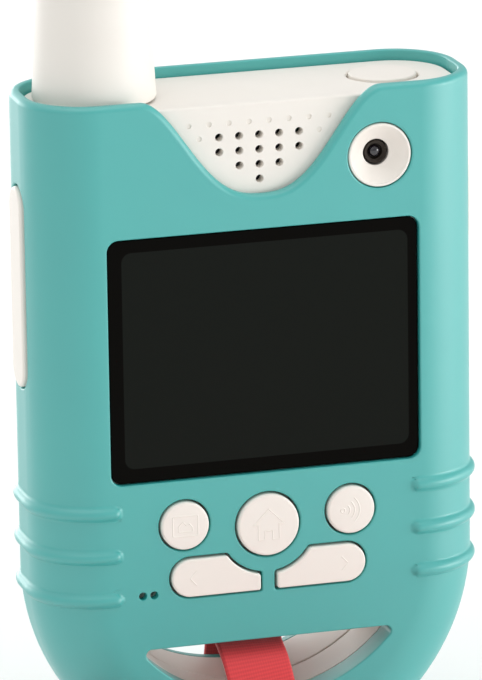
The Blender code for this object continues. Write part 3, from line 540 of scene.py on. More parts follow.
def softened(outline, reach, steps=5):
    """The outline with each sharp corner replaced by a curve that starts that far from it."""
    points = [Vector(p) for p in outline]
    result = []
    for i, here in enumerate(points):
        into = here - points[i - 1]
        out = points[(i + 1) % len(points)] - here
        if into.angle(out) < math.radians(25):
            result.append(tuple(here))
            continue
        start = here - into.normalized() * min(reach, into.length * 0.48)
        end = here + out.normalized() * min(reach, out.length * 0.48)
        for step in range(steps + 1):
            t = step / steps
            result.append(tuple(start * (1 - t) ** 2 + here * 2 * t * (1 - t) + end * t**2))
    return result


def edge_rings(rounding, start, end, steps=5):
    """Pairs of growth and depth: a rounded front edge at start, then straight to end."""
    way = 1 if end > start else -1
    rings = []
    for i in range(steps + 1):
        angle = math.pi / 2 * i / steps
        rings.append(
            (rounding * (math.sin(angle) - 1), start + way * rounding * (1 - math.cos(angle)))
        )
    return [*rings, (0.0, end)]


def loft(rings):
    """A closed solid through rings of points, each with the same count."""
    bm = bmesh.new()
    rows = [[bm.verts.new(point) for point in ring] for ring in rings]
    for first, second in zip(rows, rows[1:]):
        for i in range(len(first)):
            j = (i + 1) % len(first)
            bm.faces.new((first[i], first[j], second[j], second[i]))
    bm.faces.new(reversed(rows[0]))
    bm.faces.new(rows[-1])
    return bm


def add_object(name, bm, *looks):
    mesh = bpy.data.meshes.new(name)
    bmesh.ops.recalc_face_normals(bm, faces=bm.faces)
    bm.to_mesh(mesh)
    bm.free()
    made = bpy.data.objects.new(name, mesh)
    bpy.context.scene.collection.objects.link(made)
    for look in looks:
        mesh.materials.append(look)
    return made


def slab(name, outline, rings, *looks):
    """An outline in X and Z through pairs of growth and y."""
    if isinstance(rings[0], float):
        rings = [(0.0, rings[0]), (0.0, rings[1])]
    return add_object(
        name, loft([[(x, y, z) for x, z in grown(outline, grow)] for grow, y in rings]), *looks
    )


def side_slab(name, side, outline, centre, rings, *looks):
    """An outline in Y and Z through pairs of growth and distance from the middle plane."""
    made = [
        [(side * x, centre[0] + y, centre[1] + z) for y, z in grown(outline, grow)]
        for grow, x in rings
    ]
    return add_object(name, loft(made), *looks)


def turned(name, profile, place, axis, look, steps=64):
    """A closed profile of (radius, height), turned about an axis. A radius of 0 is a pole."""
    turn = Vector(axis).to_track_quat("Z", "Y").to_matrix().to_4x4()
    move = Matrix.Translation(place) @ turn
    bm = bmesh.new()
    rows = []
    for radius, height in profile:
        count = steps if radius > 1e-7 else 1
        angles = [math.tau * i / count for i in range(count)]
        rows.append(
            [
                bm.verts.new(move @ Vector((radius * math.cos(a), radius * math.sin(a), height)))
                for a in angles
            ]
        )
    pairs = list(zip(rows, rows[1:]))
    if profile[0][0] > 1e-7:
        pairs.append((rows[-1], rows[0]))
    for first, second in pairs:
        for i in range(steps):
            j = (i + 1) % steps
            corners = [
                first[i % len(first)],
                first[j % len(first)],
                second[j % len(second)],
                second[i % len(second)],
            ]
            unique = list(dict.fromkeys(corners))
            if len(unique) > 2:
                bm.faces.new(unique)
    return add_object(name, bm, look)


def round_points(radius, height, rounding, steps=6):
    """Profile points of a convex outer edge, from its top down the side."""
    return [
        (
            radius - rounding + rounding * math.sin(math.pi / 2 * i / steps),
            height - rounding + rounding * math.cos(math.pi / 2 * i / steps),
        )
        for i in range(steps + 1)
    ]


def settle(obj):
    """Turns the object as its modifiers leave it into a plain mesh."""
    graph = bpy.context.evaluated_depsgraph_get()
    mesh = bpy.data.meshes.new_from_object(
        obj.evaluated_get(graph), preserve_all_data_layers=True, depsgraph=graph
    )
    obj.modifiers.clear()
    old = obj.data
    obj.data = mesh
    bpy.data.meshes.remove(old)
    mesh.name = obj.name


def carve(target, operation, *others):
    """One Boolean with all the other shapes, which are then removed."""
    group = bpy.data.collections.new("shapes")
    for other in others:
        group.objects.link(other)
    step = target.modifiers.new("carve", "BOOLEAN")
    step.operation = operation
    step.operand_type = "COLLECTION"
    step.collection = group
    step.solver = "EXACT"
    settle(target)
    for other in others:
        bpy.data.objects.remove(other)
    bpy.data.collections.remove(group)


def tidy(bm):
    """Puts points that belong on a flat face exactly on it, and joins what is flat."""
    for vertex in bm.verts:
        for plane in (FRONT, BACK, HOUSING_FRONT, -HOUSING_FRONT, CAVITY_FRONT):
            if abs(vertex.co.y - plane) < 3e-6:
                vertex.co.y = plane
    bmesh.ops.remove_doubles(bm, verts=bm.verts, dist=2e-6)
    bmesh.ops.dissolve_degenerate(bm, edges=bm.edges, dist=2e-6)
    # The fine grid around the ribs stays, so that their slopes don't tint the flat face.
    plain_verts = [v for v in bm.verts if not in_rib_grid(v.co)]
    plain_edges = [e for e in bm.edges if not all(in_rib_grid(v.co) for v in e.verts)]
    bmesh.ops.dissolve_limit(
        bm, angle_limit=math.radians(0.05), verts=plain_verts, edges=plain_edges
    )


def in_rib_grid(at):
    """Whether a place is in the fine grid that carries the ribs."""
    return abs(at.x) > 0.0199 and 0.0297 < at.z < 0.0425


def round_edges(obj, *passes):
    """Bevels sharp edges. Each pass is (test of an edge's middle, width, segments)."""
    bm = bmesh.new()
    bm.from_mesh(obj.data)
    tidy(bm)
    for test, width, segments in passes:
        chosen = []
        for edge in bm.edges:
            if not edge.is_manifold or edge.calc_face_angle() < math.radians(38):
                continue
            if test((edge.verts[0].co + edge.verts[1].co) / 2):
                chosen.append(edge)
        bmesh.ops.bevel(
            bm,
            geom=chosen,
            offset=width,
            offset_type="OFFSET",
            segments=segments,
            profile=0.5,
            affect="EDGES",
            clamp_overlap=False,
        )
    bm.to_mesh(obj.data)
    bm.free()


def shade(obj, angle=38):
    """Smooth shading whose normals follow the larger faces."""
    obj.data.shade_smooth()
    obj.data.set_sharp_from_angle(angle=math.radians(angle))
    step = obj.modifiers.new("normals", "WEIGHTED_NORMAL")
    step.keep_sharp = True
    settle(obj)
    return obj


def place_piece(obj, body, slot_name, *nodes):
    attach(obj, body)
    if nodes:
        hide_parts(*nodes)
    return obj


# The body's shape


def depth_in(point, radius):
    """How far a point is outside the body's shape of that edge radius. Below 0 is inside."""
    x, y, z = point
    if z > ROUND_CENTRE:
        past = abs(x) - CORE_HALF_WIDTH
    else:
        past = math.hypot(x, z - ROUND_CENTRE) - CORE_HALF_WIDTH
    over = max(abs(y) - FLAT_BAND, 0.0)
    return (over if past <= 0 else math.hypot(past, over)) - radius


def body_shape(name, radius, low, top, look=None, band=0.0, bump=None, steps=20):
    """The body's shape with that edge radius, from a low to a top height. The top is closed flat."""
    heights = [top]
    if bump:
        heights += [0.0422 - 0.00016 * i for i in range(76)]
    turns = [0.0]
    if bump:
        turns += [0.28 * i for i in range(1, 36)]
    while turns[-1] < 87:
        turns.append(turns[-1] + 3)
    turns = [*turns, 90.0]
    right = [((CORE_HALF_WIDTH, z), (1.0, 0.0)) for z in heights if z > ROUND_CENTRE + 1e-6]
    for turn in turns:
        a = math.radians(turn)
        way = (math.cos(a), -math.sin(a))
        right.append(((CORE_HALF_WIDTH * way[0], ROUND_CENTRE + CORE_HALF_WIDTH * way[1]), way))
    left = [((-x, z), (-nx, nz)) for (x, z), (nx, nz) in reversed(right[:-1])]
    columns = [(-band * (1 - i / 9), -1.0, 0.0) for i in range(9)] if band else []
    # The last two lines are one, so that none runs close beside the openings in the side.
    beside_flat = 84.8
    angles = [90 * i / steps for i in range(steps - 2)] + [beside_flat, 90]
    for a in (math.radians(angle) for angle in angles):
        columns.append((radius * math.sin(a), -math.cos(a), math.sin(a)))
    back = [(out, -y, nx) for out, y, nx in reversed(columns)]
    columns = [(out, y, nx, -FLAT_BAND + radius * y) for out, y, nx in columns]
    columns += [(out, y, nx, FLAT_BAND + radius * y) for out, y, nx in back]
    bm = bmesh.new()
    rows = []
    for (x, z), (nx, nz) in right + left:
        row = []
        for out, ny, nout, y in columns:
            at = Vector((x + nx * out, y, z + nz * out))
            if bump:
                rise = bump(at.x, at.z)
                at += Vector((nx * nout, ny, nz * nout)) * rise
            row.append(bm.verts.new(at))
        rows.append(row)
    for first, second in zip(rows, rows[1:]):
        for i in range(len(columns) - 1):
            bm.faces.new((first[i], first[i + 1], second[i + 1], second[i]))
    bm.faces.new([row[0] for row in rows])
    bm.faces.new([row[-1] for row in reversed(rows)])
    bm.faces.new([*rows[0], *reversed(rows[-1])])
    made = add_object(name, bm, *([look] if look else []))
    below = box("below", (-FAR, FAR), (-FAR, FAR), (-FAR, low))
    carve(made, "DIFFERENCE", below)
    return made


def box(name, x, y, z):
    corners = [(x[0], z[0]), (x[1], z[0]), (x[1], z[1]), (x[0], z[1])]
    return slab(name, corners, (y[0], y[1]))


def slot_outline(grow):
    """The strap slot: a flat upper edge, small round corners and one wide arc below."""
    corner = 0.0008 + grow
    top = 0.02015 + grow
    radius = 0.02366 + grow
    centre = 0.0348
    drop = centre - (top - corner)
    corner_x = math.sqrt((radius - corner) ** 2 - drop**2)
    lean = math.degrees(math.atan2(-drop, corner_x))
    right = arc((corner_x, top - corner), corner, 90, lean, 8)
    below = arc((0, centre), radius, lean, -180 - lean, 56)
    left = [(-x, z) for x, z in reversed(right)]
    return [*right, *below[1:-1], *left]


def arrow_outline(side, grow):
    """An arrow key: hollow beside the home key, straight along the top, round at its outer end."""
    radius = 0.0071 - grow
    start_x = 0.0012 - grow
    end_radius = 0.0027 + grow
    end_x, end_z = 0.0112, 0.03003
    upper = end_z + end_radius
    lower_angle = math.degrees(math.asin(start_x / radius)) - 90
    upper_angle = math.degrees(math.asin((upper - HOME[1]) / radius))
    hollow = arc(HOME, radius, lower_angle, upper_angle, 9)
    outer = arc((end_x, end_z), end_radius, 90, -90, 28)
    points = softened([(start_x, end_z - end_radius), *hollow, *outer], 0.0004)
    return [(side * x, z) for x, z in points]


def round_hole(name, centre, radius, y, steps=64):
    return slab(name, circle(centre, radius, steps), y)


def front_openings(grow):
    """Cutters for the front keys and the microphone, through the sleeve and the housing alike."""
    keys = bpy.context.scene.talkie_keys
    y = (FRONT - 0.002, CAVITY_FRONT + 0.0005)
    cuts = [
        round_hole("home_hole", HOME, keys.home_radius + grow, y),
        round_hole("picture_hole", PICTURE, keys.small_radius + grow, y),
        round_hole("voice_hole", VOICE, keys.small_radius + grow, y),
    ]
    cuts += [slab("arrow_hole", arrow_outline(side, grow), y) for side in (-1, 1)]
    for offset in (-0.0008, 0.0008):
        cuts.append(round_hole("mic_hole", (MIC_X + offset, MIC_Z), 0.00055, y, 24))
    return cuts


def side_openings(inner):
    """Cutters for the talk key, the volume key and the charging socket."""
    x = [(0.0, inner), (0.0, 0.036)]
    half = SIDE_KEY_WIDTH / 2 + FIT_GAP
    talk = rounded_box(half, TALK_LENGTH / 2 + FIT_GAP, half - 1e-5, (0, 0), 16)
    volume = rounded_box(half, VOLUME_LENGTH / 2 + 0.0005, half - 1e-5, (0, 0), 16)
    port = rounded_box(0.0018, 0.0048, 0.0018 - 1e-5, (0, 0), 12)
    return [
        side_slab("talk_hole", -1, talk, (0, TALK_Z), x),
        side_slab("volume_hole", 1, volume, (0, VOLUME_Z), x),
        side_slab("port_hole", 1, port, PORT, x),
    ]


# Pieces


def rib_bump(x, z):
    """How far the sleeve's ribs stand out at a place."""
    sizes = bpy.context.scene.talkie_sleeve
    short = max(0.0, sizes.rib_start - abs(x))
    best = 0.0
    for height in RIB_HEIGHTS:
        away = math.hypot(z - height, short) / sizes.rib_half_width
        if away < 1:
            best = max(best, sizes.rib_height * (1 - away * away) ** 0.8)
    return best


def top_cutter():
    """What lies above the rim: level behind, and with the bell shaped notch in front."""
    sizes = bpy.context.scene.talkie_sleeve
    half = sizes.notch_half_width
    dip = []
    for i in range(97):
        x = half * (i / 48 - 1)
        rise = math.sin(math.pi / 2 * (abs(x) / half) ** 1.305) ** 2
        dip.append((x, sizes.notch_bottom + (RIM - sizes.notch_bottom) * rise))
    dip[0], dip[-1] = (-half, RIM), (half, RIM)
    front = [(-FAR, RIM), *dip, (FAR, RIM), (FAR, 0.14), (-FAR, 0.14)]
    back = [(x, RIM if i < len(front) - 2 else z) for i, (x, z) in enumerate(front)]
    rings = [(front, -FAR), (front, -0.008), (back, -0.005), (back, FAR)]
    return add_object("top_cutter", loft([[(x, y, z) for x, z in ring] for ring, y in rings]))


def make_sleeve():
    sizes = bpy.context.scene.talkie_sleeve
    sleeve = body_shape(
        "sleeve",
        SIDE_RADIUS,
        0.0,
        0.112,
        silicone(),
        band=0.0025,
        bump=rib_bump,
        steps=24,
    )
    hollow = body_shape("hollow", SLEEVE_RADIUS_INSIDE, SLEEVE_FLOOR, 0.12)
    carve(sleeve, "DIFFERENCE", hollow, top_cutter())
    collar = slab("collar", slot_outline(0.001), (FRONT + 0.0007, FRONT + 0.0040))
    carve(sleeve, "UNION", collar)
    window = rounded_box(0.02215, 0.0173, 0.00165, (0, SCREEN_Z))
    y = (-FAR, -FLAT_BAND)
    carve(
        sleeve,
        "DIFFERENCE",
        slab("slot", slot_outline(0), (-FAR, FAR)),
        slab("window", window, y),
        round_hole("dish_hole", (CAMERA_X, CAMERA_Z), 0.0046, y, 72),
        *front_openings(FIT_GAP),
        *side_openings(CAVITY_HALF_WIDTH),
    )

    def on_outside(at):
        return abs(depth_in(at, SIDE_RADIUS)) < 3e-5

    def outer_rim(at):
        at_rim = abs(at.x) < 0.029 or at.z > 0.09
        return at_rim and on_outside(at) and at.z > sizes.notch_bottom - 1e-4 and not in_dish(at)

    def in_dish(at):
        return math.hypot(at.x - CAMERA_X, at.z - CAMERA_Z) < 0.005

    def small(at):
        if at.z < 0.0005 or math.hypot(at.x - MIC_X, at.z - MIC_Z) < 0.0016:
            return False
        if at.z > sizes.notch_bottom - 1e-4 and abs(depth_in(at, SLEEVE_RADIUS_INSIDE)) < 3e-5:
            return True
        return on_outside(at)

    round_edges(
        sleeve,
        (outer_rim, sizes.lip, 6),
        (small, sizes.edge, 3),
        (lambda at: math.hypot(at.x - MIC_X, at.z - MIC_Z) < 0.0016 and on_outside(at), 0.00015, 2),
    )
    shade(sleeve)
    place_piece(sleeve, "casing", "teal_silicone", "silicone_sleeve")


def perforation_tree():
    """A row of like cutters, with its count, pitch, radius, depth and start as inputs."""
    tree = bpy.data.node_groups.new("Perforation row", "GeometryNodeTree")
    tree.is_modifier = True
    sockets = (
        ("Count", "NodeSocketInt", 5),
        ("Pitch", "NodeSocketFloat", 0.0028),
        ("Radius", "NodeSocketFloat", 0.0005),
        ("Depth", "NodeSocketFloat", 0.002),
        ("Start", "NodeSocketVector", (0, 0, 0)),
        ("Material", "NodeSocketMaterial", None),
    )
    for name, kind, default in sockets:
        made = tree.interface.new_socket(name, in_out="INPUT", socket_type=kind)
        if default is not None:
            made.default_value = default
    tree.interface.new_socket("Geometry", in_out="OUTPUT", socket_type="NodeSocketGeometry")
    given = add_node(tree, "NodeGroupInput").outputs
    step = add_node(tree, "ShaderNodeCombineXYZ", inputs={"X": given["Pitch"]})
    line = add_node(
        tree,
        "GeometryNodeMeshLine",
        {"mode": "OFFSET"},
        {
            "Count": given["Count"],
            "Start Location": given["Start"],
            "Offset": step.outputs["Vector"],
        },
    )
    tool = add_node(
        tree,
        "GeometryNodeMeshCylinder",
        inputs={"Vertices": 24, "Radius": given["Radius"], "Depth": given["Depth"]},
    )
    copies = add_node(
        tree,
        "GeometryNodeInstanceOnPoints",
        inputs={
            "Points": line.outputs["Mesh"],
            "Instance": tool.outputs["Mesh"],
            "Rotation": (math.pi / 2, 0, 0),
        },
    )
    real = add_node(
        tree, "GeometryNodeRealizeInstances", inputs={"Geometry": copies.outputs["Instances"]}
    )
    look = add_node(
        tree,
        "GeometryNodeSetMaterial",
        inputs={"Geometry": real.outputs["Geometry"], "Material": given["Material"]},
    )
    add_node(tree, "NodeGroupOutput", inputs={"Geometry": look.outputs["Geometry"]})
    return tree


def from_tree(name, tree, values):
    """An object whose mesh a node tree makes from the given inputs."""
    made = bpy.data.objects.new(name, bpy.data.meshes.new(name))
    bpy.context.scene.collection.objects.link(made)
    step = made.modifiers.new("nodes", "NODES")
    step.node_group = tree
    for item in tree.interface.items_tree:
        if item.in_out == "INPUT" and item.name in values:
            step[item.identifier] = values[item.name]
    settle(made)
    return made


def perforation_rows(look):
    """The cutters of the speaker holes and of the blind dimples around them."""
    sizes = bpy.context.scene.talkie_housing
    tree = perforation_tree()
    rows = []
    through = (HOUSING_FRONT + CAVITY_FRONT) / 2
    for row, count in enumerate(GRILLE_ROWS):
        rows.append((count, sizes.hole_radius, 0.005, through, row * -sizes.row_pitch, 1.0))
    blind = HOUSING_FRONT
    rows.append((8, sizes.dimple_radius, sizes.dimple_depth * 2, blind, 0.0019, 1.0))
    rows.append((2, sizes.dimple_radius, sizes.dimple_depth * 2, blind, 0.0, 6.0))
    made = []
    for number, (count, radius, depth, y, up, spread) in enumerate(rows):
        pitch = sizes.hole_pitch * spread
        start = (-(count - 1) / 2 * pitch, y, GRILLE_TOP + up)
        values = {
            "Count": count,
            "Pitch": pitch,
            "Radius": radius,
            "Depth": depth,
            "Start": start,
            "Material": look,
        }
        made.append(from_tree(f"perforations_{number}", tree, values))
    bpy.data.node_groups.remove(tree)
    return made


def boss(name, x, z, y, radius=0.0023):
    return round_hole(name, (x, z), radius, y, 24)


def housing_half(name, top, front):
    """One half of the white housing, hollow, with the slot and the side openings."""
    half = body_shape(name, HOUSING_RADIUS, HOUSING_FLOOR, top, white_abs())
    if front:
        away = box("away", (-FAR, FAR), (-FIT_GAP / 2, FAR), (-FAR, CAVITY_TOP))
    else:
        away = box("away", (-FAR, FAR), (-FAR, FIT_GAP / 2), (-FAR, FAR * 2))
    cavity = body_shape(name + "_cavity", CAVITY_RADIUS, CAVITY_FLOOR, CAVITY_TOP)
    carve(half, "DIFFERENCE", away)
    carve(
        half,
        "DIFFERENCE",
        cavity,
        slab("slot", slot_outline(0), (-FAR, FAR)),
        *side_openings(CAVITY_HALF_WIDTH - 0.001),
    )
    return half


def upright(name, centre, radius, z, steps=48):
    """A round cutter that stands up between two heights."""
    rings = [[(x, y, at) for x, y in circle(centre, radius, steps)] for at in z]
    return add_object(name, loft(rings))


def make_front_housing():
    sizes = bpy.context.scene.talkie_housing
    look = white_abs()
    half = housing_half("front_shell", HOUSING_TOP, True)
    ends = [boss("boss", x, z, (CAVITY_FRONT - 0.0008, -FIT_GAP / 2)) for x, z in SCREWS]
    carve(half, "UNION", *ends)
    window = rounded_box(0.0209, 0.01605, 0.0015, (0, SCREEN_Z))
    z = (CAVITY_TOP - 0.001, HOUSING_TOP + 0.001)
    carve(
        half,
        "DIFFERENCE",
        slab("window", window, (-FAR, CAVITY_FRONT + 0.0005)),
        round_hole("dish", (CAMERA_X, CAMERA_Z), 0.0033, (-FAR, CAVITY_FRONT + 0.0005)),
        slab("collar_room", slot_outline(0.0013), (-FAR, FRONT + 0.0043)),
        upright("antenna_hole", (ANTENNA_X, 0), 0.0029, z),
        upright("power_hole", POWER, 0.0050, z),
        *front_openings(FIT_GAP),
        *[boss("pilot", x, z, (CAVITY_FRONT + 0.0008, 0.001), 0.0013) for x, z in SCREWS],
        *perforation_rows(look),
    )

    def top_edge(at):
        return abs(at.z - HOUSING_TOP) < 2e-5

    def grille(at):
        near = abs(at.y - HOUSING_FRONT) < 2e-5 and abs(at.x) < 0.0095
        return near and 0.0845 < at.z < 0.0940

    def slot_edge(at):
        return at.z < 0.0225 and abs(at.y + FIT_GAP / 2) < 2e-5

    round_edges(half, (top_edge, sizes.edge, 4), (grille, 0.00008, 2), (slot_edge, 0.0002, 2))
    shade(half)
    place_piece(half, "casing", "white_plastic", "front_housing")


def make_rear_housing():
    half = housing_half("rear_shell", CAVITY_TOP - FIT_GAP, False)
    inside = -CAVITY_FRONT
    ends = [boss("boss", x, z, (FIT_GAP / 2, inside + 0.0008)) for x, z in SCREWS]
    carve(half, "UNION", *ends)
    head = -HOUSING_FRONT - 0.0009 - 0.0012 - FIT_GAP
    holes = [boss("hole", x, z, (-0.001, BACK), 0.0013) for x, z in SCREWS]
    holes += [boss("head", x, z, (head, BACK), 0.00205) for x, z in SCREWS]
    carve(half, "DIFFERENCE", *holes)
    round_edges(half, (lambda at: at.z < 0.0225 and abs(at.y - FIT_GAP / 2) < 2e-5, 0.0002, 2))
    shade(half)
    place_piece(half, "casing", "white_plastic", "rear_housing")


def make_screen():
    colours = bpy.context.scene.talkie_colours
    outline = rounded_box(
        (GLASS_HIGH.x - GLASS_LOW.x) / 2,
        (GLASS_HIGH.z - GLASS_LOW.z) / 2,
        0.0015,
        (0, (GLASS_HIGH.z + GLASS_LOW.z) / 2),
    )
    rings = edge_rings(0.00018, GLASS_LOW.y, GLASS_HIGH.y, 4)
    look = shared("glass", make_printed_glass, colours)
    glass = slab("cover_glass", outline, rings, look)
    shade(glass)
    place_piece(glass, "casing", "black_glass", "screen_glass")


def make_camera():
    """The white dish, the stepped dark barrel in its middle and a small domed lens."""
    colours = bpy.context.scene.talkie_colours
    place = (CAMERA_X, 0, CAMERA_Z)
    front, back = -DISH_LOW.y, -DISH_HIGH.y
    radius, bore, stem = (DISH_HIGH.x - DISH_LOW.x) / 2, 0.00185, 0.0030
    step = -HOUSING_FRONT + FIT_GAP
    floor = front - 0.0018
    lip = radius - 0.00045
    cone = []
    for i in range(13):
        t = i / 12
        cone.append((bore + 0.00015 + (lip - bore - 0.0002) * t, floor + 0.0016 * t**1.25))
    rim = [
        (lip + 0.00018 * (1 - math.cos(a)), front - 0.00018 + 0.00018 * math.sin(a))
        for a in (math.pi / 2 * i / 5 for i in range(6))
    ]
    outside = round_points(radius, front, 0.00022, 5)
    profile = [
        *outside,
        (radius, step),
        (stem, step),
        (stem, back),
        (bore, back),
        (bore, floor - 0.00015),
        *cone,
        *rim,
    ]
    dish = turned("lens_dish", profile, place, (0, -1, 0), key_abs(), 80)
    shade(dish, 30)
    place_piece(dish, "casing", "white_plastic", "camera_dish")

    # Nylon barrel, moulded matt with fine steps against stray light.
    dark = shared("barrel", plastic, "Matt nylon lens barrel", colours.barrel, "#2C241D", 0.5, 0.65, 0.3)
    mouth, foot = -BARREL_LOW.y, -BARREL_HIGH.y
    inner = 0.0011
    seat = mouth - 0.0012
    steps = []
    for i in range(3):
        r = inner + 0.00042 - 0.00014 * i
        depth = mouth - 0.00012 - 0.00016 * i
        steps += [(r, depth), (r - 0.00014, depth - 0.00002)]
    profile = [
        (0, seat),
        (inner, seat),
        (inner, mouth - 0.0005),
        *reversed(steps),
        (0.00154, mouth),
        (0.0016, mouth - 0.00008),
        (0.0016, foot),
        (0, foot),
    ]
    barrel = turned("stepped_barrel", profile, place, (0, -1, 0), dark, 56)
    shade(barrel, 25)
    place_piece(barrel, "casing", "black_plastic", "camera_barrel")

    # Coated acrylic lens: nearly black, with a small clear highlight.
    made, tree, shader, spot = new_material(
        "Coated acrylic lens",
        {
            "Base Color": linear("#14161C"),
            "Roughness": 0.05,
            "Coat Weight": 1.0,
            "Coat Roughness": 0.03,
        },
    )
    tint = mottled(tree, spot["Object"], "#10131A", "#241E2A", 0.0012)
    tree.links.new(tint, shader.inputs["Base Color"])
    top, base = -LENS_LOW.y, -LENS_HIGH.y
    radius = (LENS_HIGH.x - LENS_LOW.x) / 2
    dome = [
        (radius * math.sin(a), base + 0.0002 + (top - base - 0.0002) * math.cos(a))
        for a in (math.pi / 2 * i / 10 for i in range(11))
    ]
    dome[0] = (0, top)
    lens = turned("domed_lens", [*dome, (radius, base), (0, base)], place, (0, -1, 0), made, 40)
    shade(lens, 50)
    place_piece(lens, "casing", "lens_glass", "camera_lens")


def icon(name, strokes, y, radius):
    """Raised lines of an icon: half round strokes along polylines in X and Z."""
    curve = bpy.data.curves.new(name, "CURVE")
    curve.dimensions = "3D"
    for points, closed in strokes:
        line = curve.splines.new("POLY")
        line.points.add(len(points) - 1)
        for point, (x, z) in zip(line.points, points):
            point.co = (x, y, z, 1)
        line.use_cyclic_u = closed
    curve.bevel_depth = radius
    curve.bevel_resolution = 1
    curve.use_fill_caps = True
    lines = bpy.data.objects.new(name, curve)
    bpy.context.scene.collection.objects.link(lines)
    graph = bpy.context.evaluated_depsgraph_get()
    mesh = bpy.data.meshes.new_from_object(lines.evaluated_get(graph))
    bpy.data.objects.remove(lines)
    bm = bmesh.new()
    bm.from_mesh(mesh)
    bmesh.ops.remove_doubles(bm, verts=bm.verts, dist=1e-7)
    bpy.data.meshes.remove(mesh)
    return add_object(name, bm)


def house():
    """A pitched roof over walls with a door."""
    x, z = HOME
    outline = [
        (-2.2, 0.1),
        (0, 2.3),
        (2.2, 0.1),
        (1.5, 0.1),
        (1.5, -2.1),
        (0.55, -2.1),
        (0.55, -0.8),
        (-0.55, -0.8),
        (-0.55, -2.1),
        (-1.5, -2.1),
        (-1.5, 0.1),
    ]
    return [([(x + a * MM, z + b * MM) for a, b in outline], True)]


def picture():
    """A picture frame with a small figure of hills in it."""
    x, z = PICTURE
    frame_line = rounded_box(0.0018, 0.00145, 0.0002, PICTURE, 3)
    inner = [(-1.0, -0.8), (-1.0, 0.0), (-0.35, 0.65), (0.1, 0.1), (0.5, 0.4), (1.0, -0.2), (1.0, -0.8)]
    return [(frame_line, True), ([(x + a * MM, z + b * MM) for a, b in inner], True)]


def voice():
    """Three waves that open to the right of a small source."""
    x, z = VOICE
    lines = []
    for radius in (0.0009, 0.0016, 0.0023):
        lines.append((arc((x - 0.0011, z), radius, -48, 48, 10), False))
    lines.append((circle((x - 0.0012, z), 0.00032, 10), True))
    return lines


def chevron(side):
    x, z = side * 0.0109, 0.0300
    points = [(side * -0.45, 1.0), (side * 0.45, 0.0), (side * -0.45, -1.0)]
    return [([(x + a * MM, z + b * MM) for a, b in points], False)]


def make_front_keys():
    """Round keys and arrow keys, each with a flange behind the wall and a faint raised icon."""
    sizes = bpy.context.scene.talkie_keys
    look = key_abs()
    top = FRONT - sizes.proud
    flange_front, flange_back = CAVITY_FRONT + 0.0003, CAVITY_FRONT + 0.0010
    line = sizes.icon_line
    rounds = {
        "home_button": (HOME, sizes.home_radius, house()),
        "picture_button": (PICTURE, sizes.small_radius, picture()),
        "voice_button": (VOICE, sizes.small_radius, voice()),
    }
    for name, ((x, z), radius, strokes) in rounds.items():
        head = round_points(radius, -top, sizes.rounding)
        profile = [
            (0, -top),
            *head,
            (radius, -flange_front),
            (radius + 0.0006, -flange_front),
            (radius + 0.0006, -flange_back),
            (0, -flange_back),
        ]
        key = turned(name + "_cap", profile, (x, 0, z), (0, -1, 0), look, 72)
        carve(key, "UNION", icon("icon", strokes, top + line * 0.45, line))
        shade(key, 30)
        place_piece(key, name, "button_plastic", name)
    for side, name in ((-1, "left_arrow_button"), (1, "right_arrow_button")):
        outline = arrow_outline(side, 0)
        cap = slab(name + "_cap", outline, edge_rings(sizes.rounding * 0.8, top, flange_back), look)
        flange = slab("flange", arrow_outline(side, 0.0006), (flange_front, flange_back - 1e-6))
        carve(cap, "UNION", flange, icon("icon", chevron(side), top + line * 0.45, line))
        shade(cap, 30)
        place_piece(cap, name, "button_plastic", name)


def make_side_keys():
    """The long talk key, the volume rocker and the round power key."""
    look = key_abs()
    half = SIDE_KEY_WIDTH / 2
    wall = CAVITY_HALF_WIDTH - FIT_GAP
    keys = (
        ("talk_key", -1, TALK_LENGTH, TALK_Z, 0.0322, wall, 0.0004),
        ("volume_rocker", 1, VOLUME_LENGTH, VOLUME_Z, 0.0324, wall - 0.0003, 0.0005),
    )
    for name, side, long, z, outer, flange, rounding in keys:
        outline = rounded_box(half, long / 2, half - 1e-5, (0, 0), 16)
        rings = edge_rings(rounding, outer, flange - 0.0007)
        key = side_slab(name + "_cap", side, outline, (0, z), rings, look)
        plate = rounded_box(half + 0.0006, long / 2 + 0.0006, half, (0, 0), 12)
        rings = [(0.0, flange - 1e-6), (0.0, flange - 0.0007 + 1e-6)]
        carve(key, "UNION", side_slab("flange", side, plate, (0, z), rings))
        shade(key, 30)
        place_piece(key, name, "button_plastic", name)
    radius, wall = 0.0047, HOUSING_TOP - 0.0017 - FIT_GAP
    profile = [
        (0, HOUSING_TOP + 0.0003),
        *round_points(radius, HOUSING_TOP + 0.0003, 0.00025),
        (radius, wall),
        (radius + 0.0006, wall),
        (radius + 0.0006, wall - 0.0007),
        (0, wall - 0.0007),
    ]
    power = turned("power_button_cap", profile, (*POWER, 0), (0, 0, 1), look, 72)
    shade(power, 30)
    place_piece(power, "power_button", "button_plastic", "power_button")


def make_antenna():
    """The hollow antenna cover: a slow taper up to a low dome, with a soft foot."""
    low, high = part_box("antenna_cover")
    base, top = low.z, high.z
    foot, tip, wall = (high.x - low.x) / 2, 0.0066, 0.0013
    rise = tip * 0.55
    shoulder = top - rise
    outer = [
        (tip * math.sin(a), shoulder + rise * math.cos(a))
        for a in (math.pi / 2 * i / 14 for i in range(15))
    ]
    side = []
    for i in range(1, 13):
        t = i / 12
        side.append((tip + (foot - tip) * t**1.02, shoulder + (base + 0.0003 - shoulder) * t))
    inner = [
        ((tip - wall) * math.sin(a), shoulder + (rise - wall) * math.cos(a))
        for a in (math.pi / 2 * i / 8 for i in range(8, -1, -1))
    ]
    profile = [*outer, *side, (foot - 0.0002, base), (foot - wall, base), *inner]
    profile[0] = (0, top)
    profile[-1] = (0, shoulder + rise - wall)
    cover = turned("antenna_shell", profile, (ANTENNA_X, 0, 0), (0, 0, 1), white_abs(), 80)
    shade(cover, 50)
    place_piece(cover, "casing", "white_plastic", "antenna_cover")


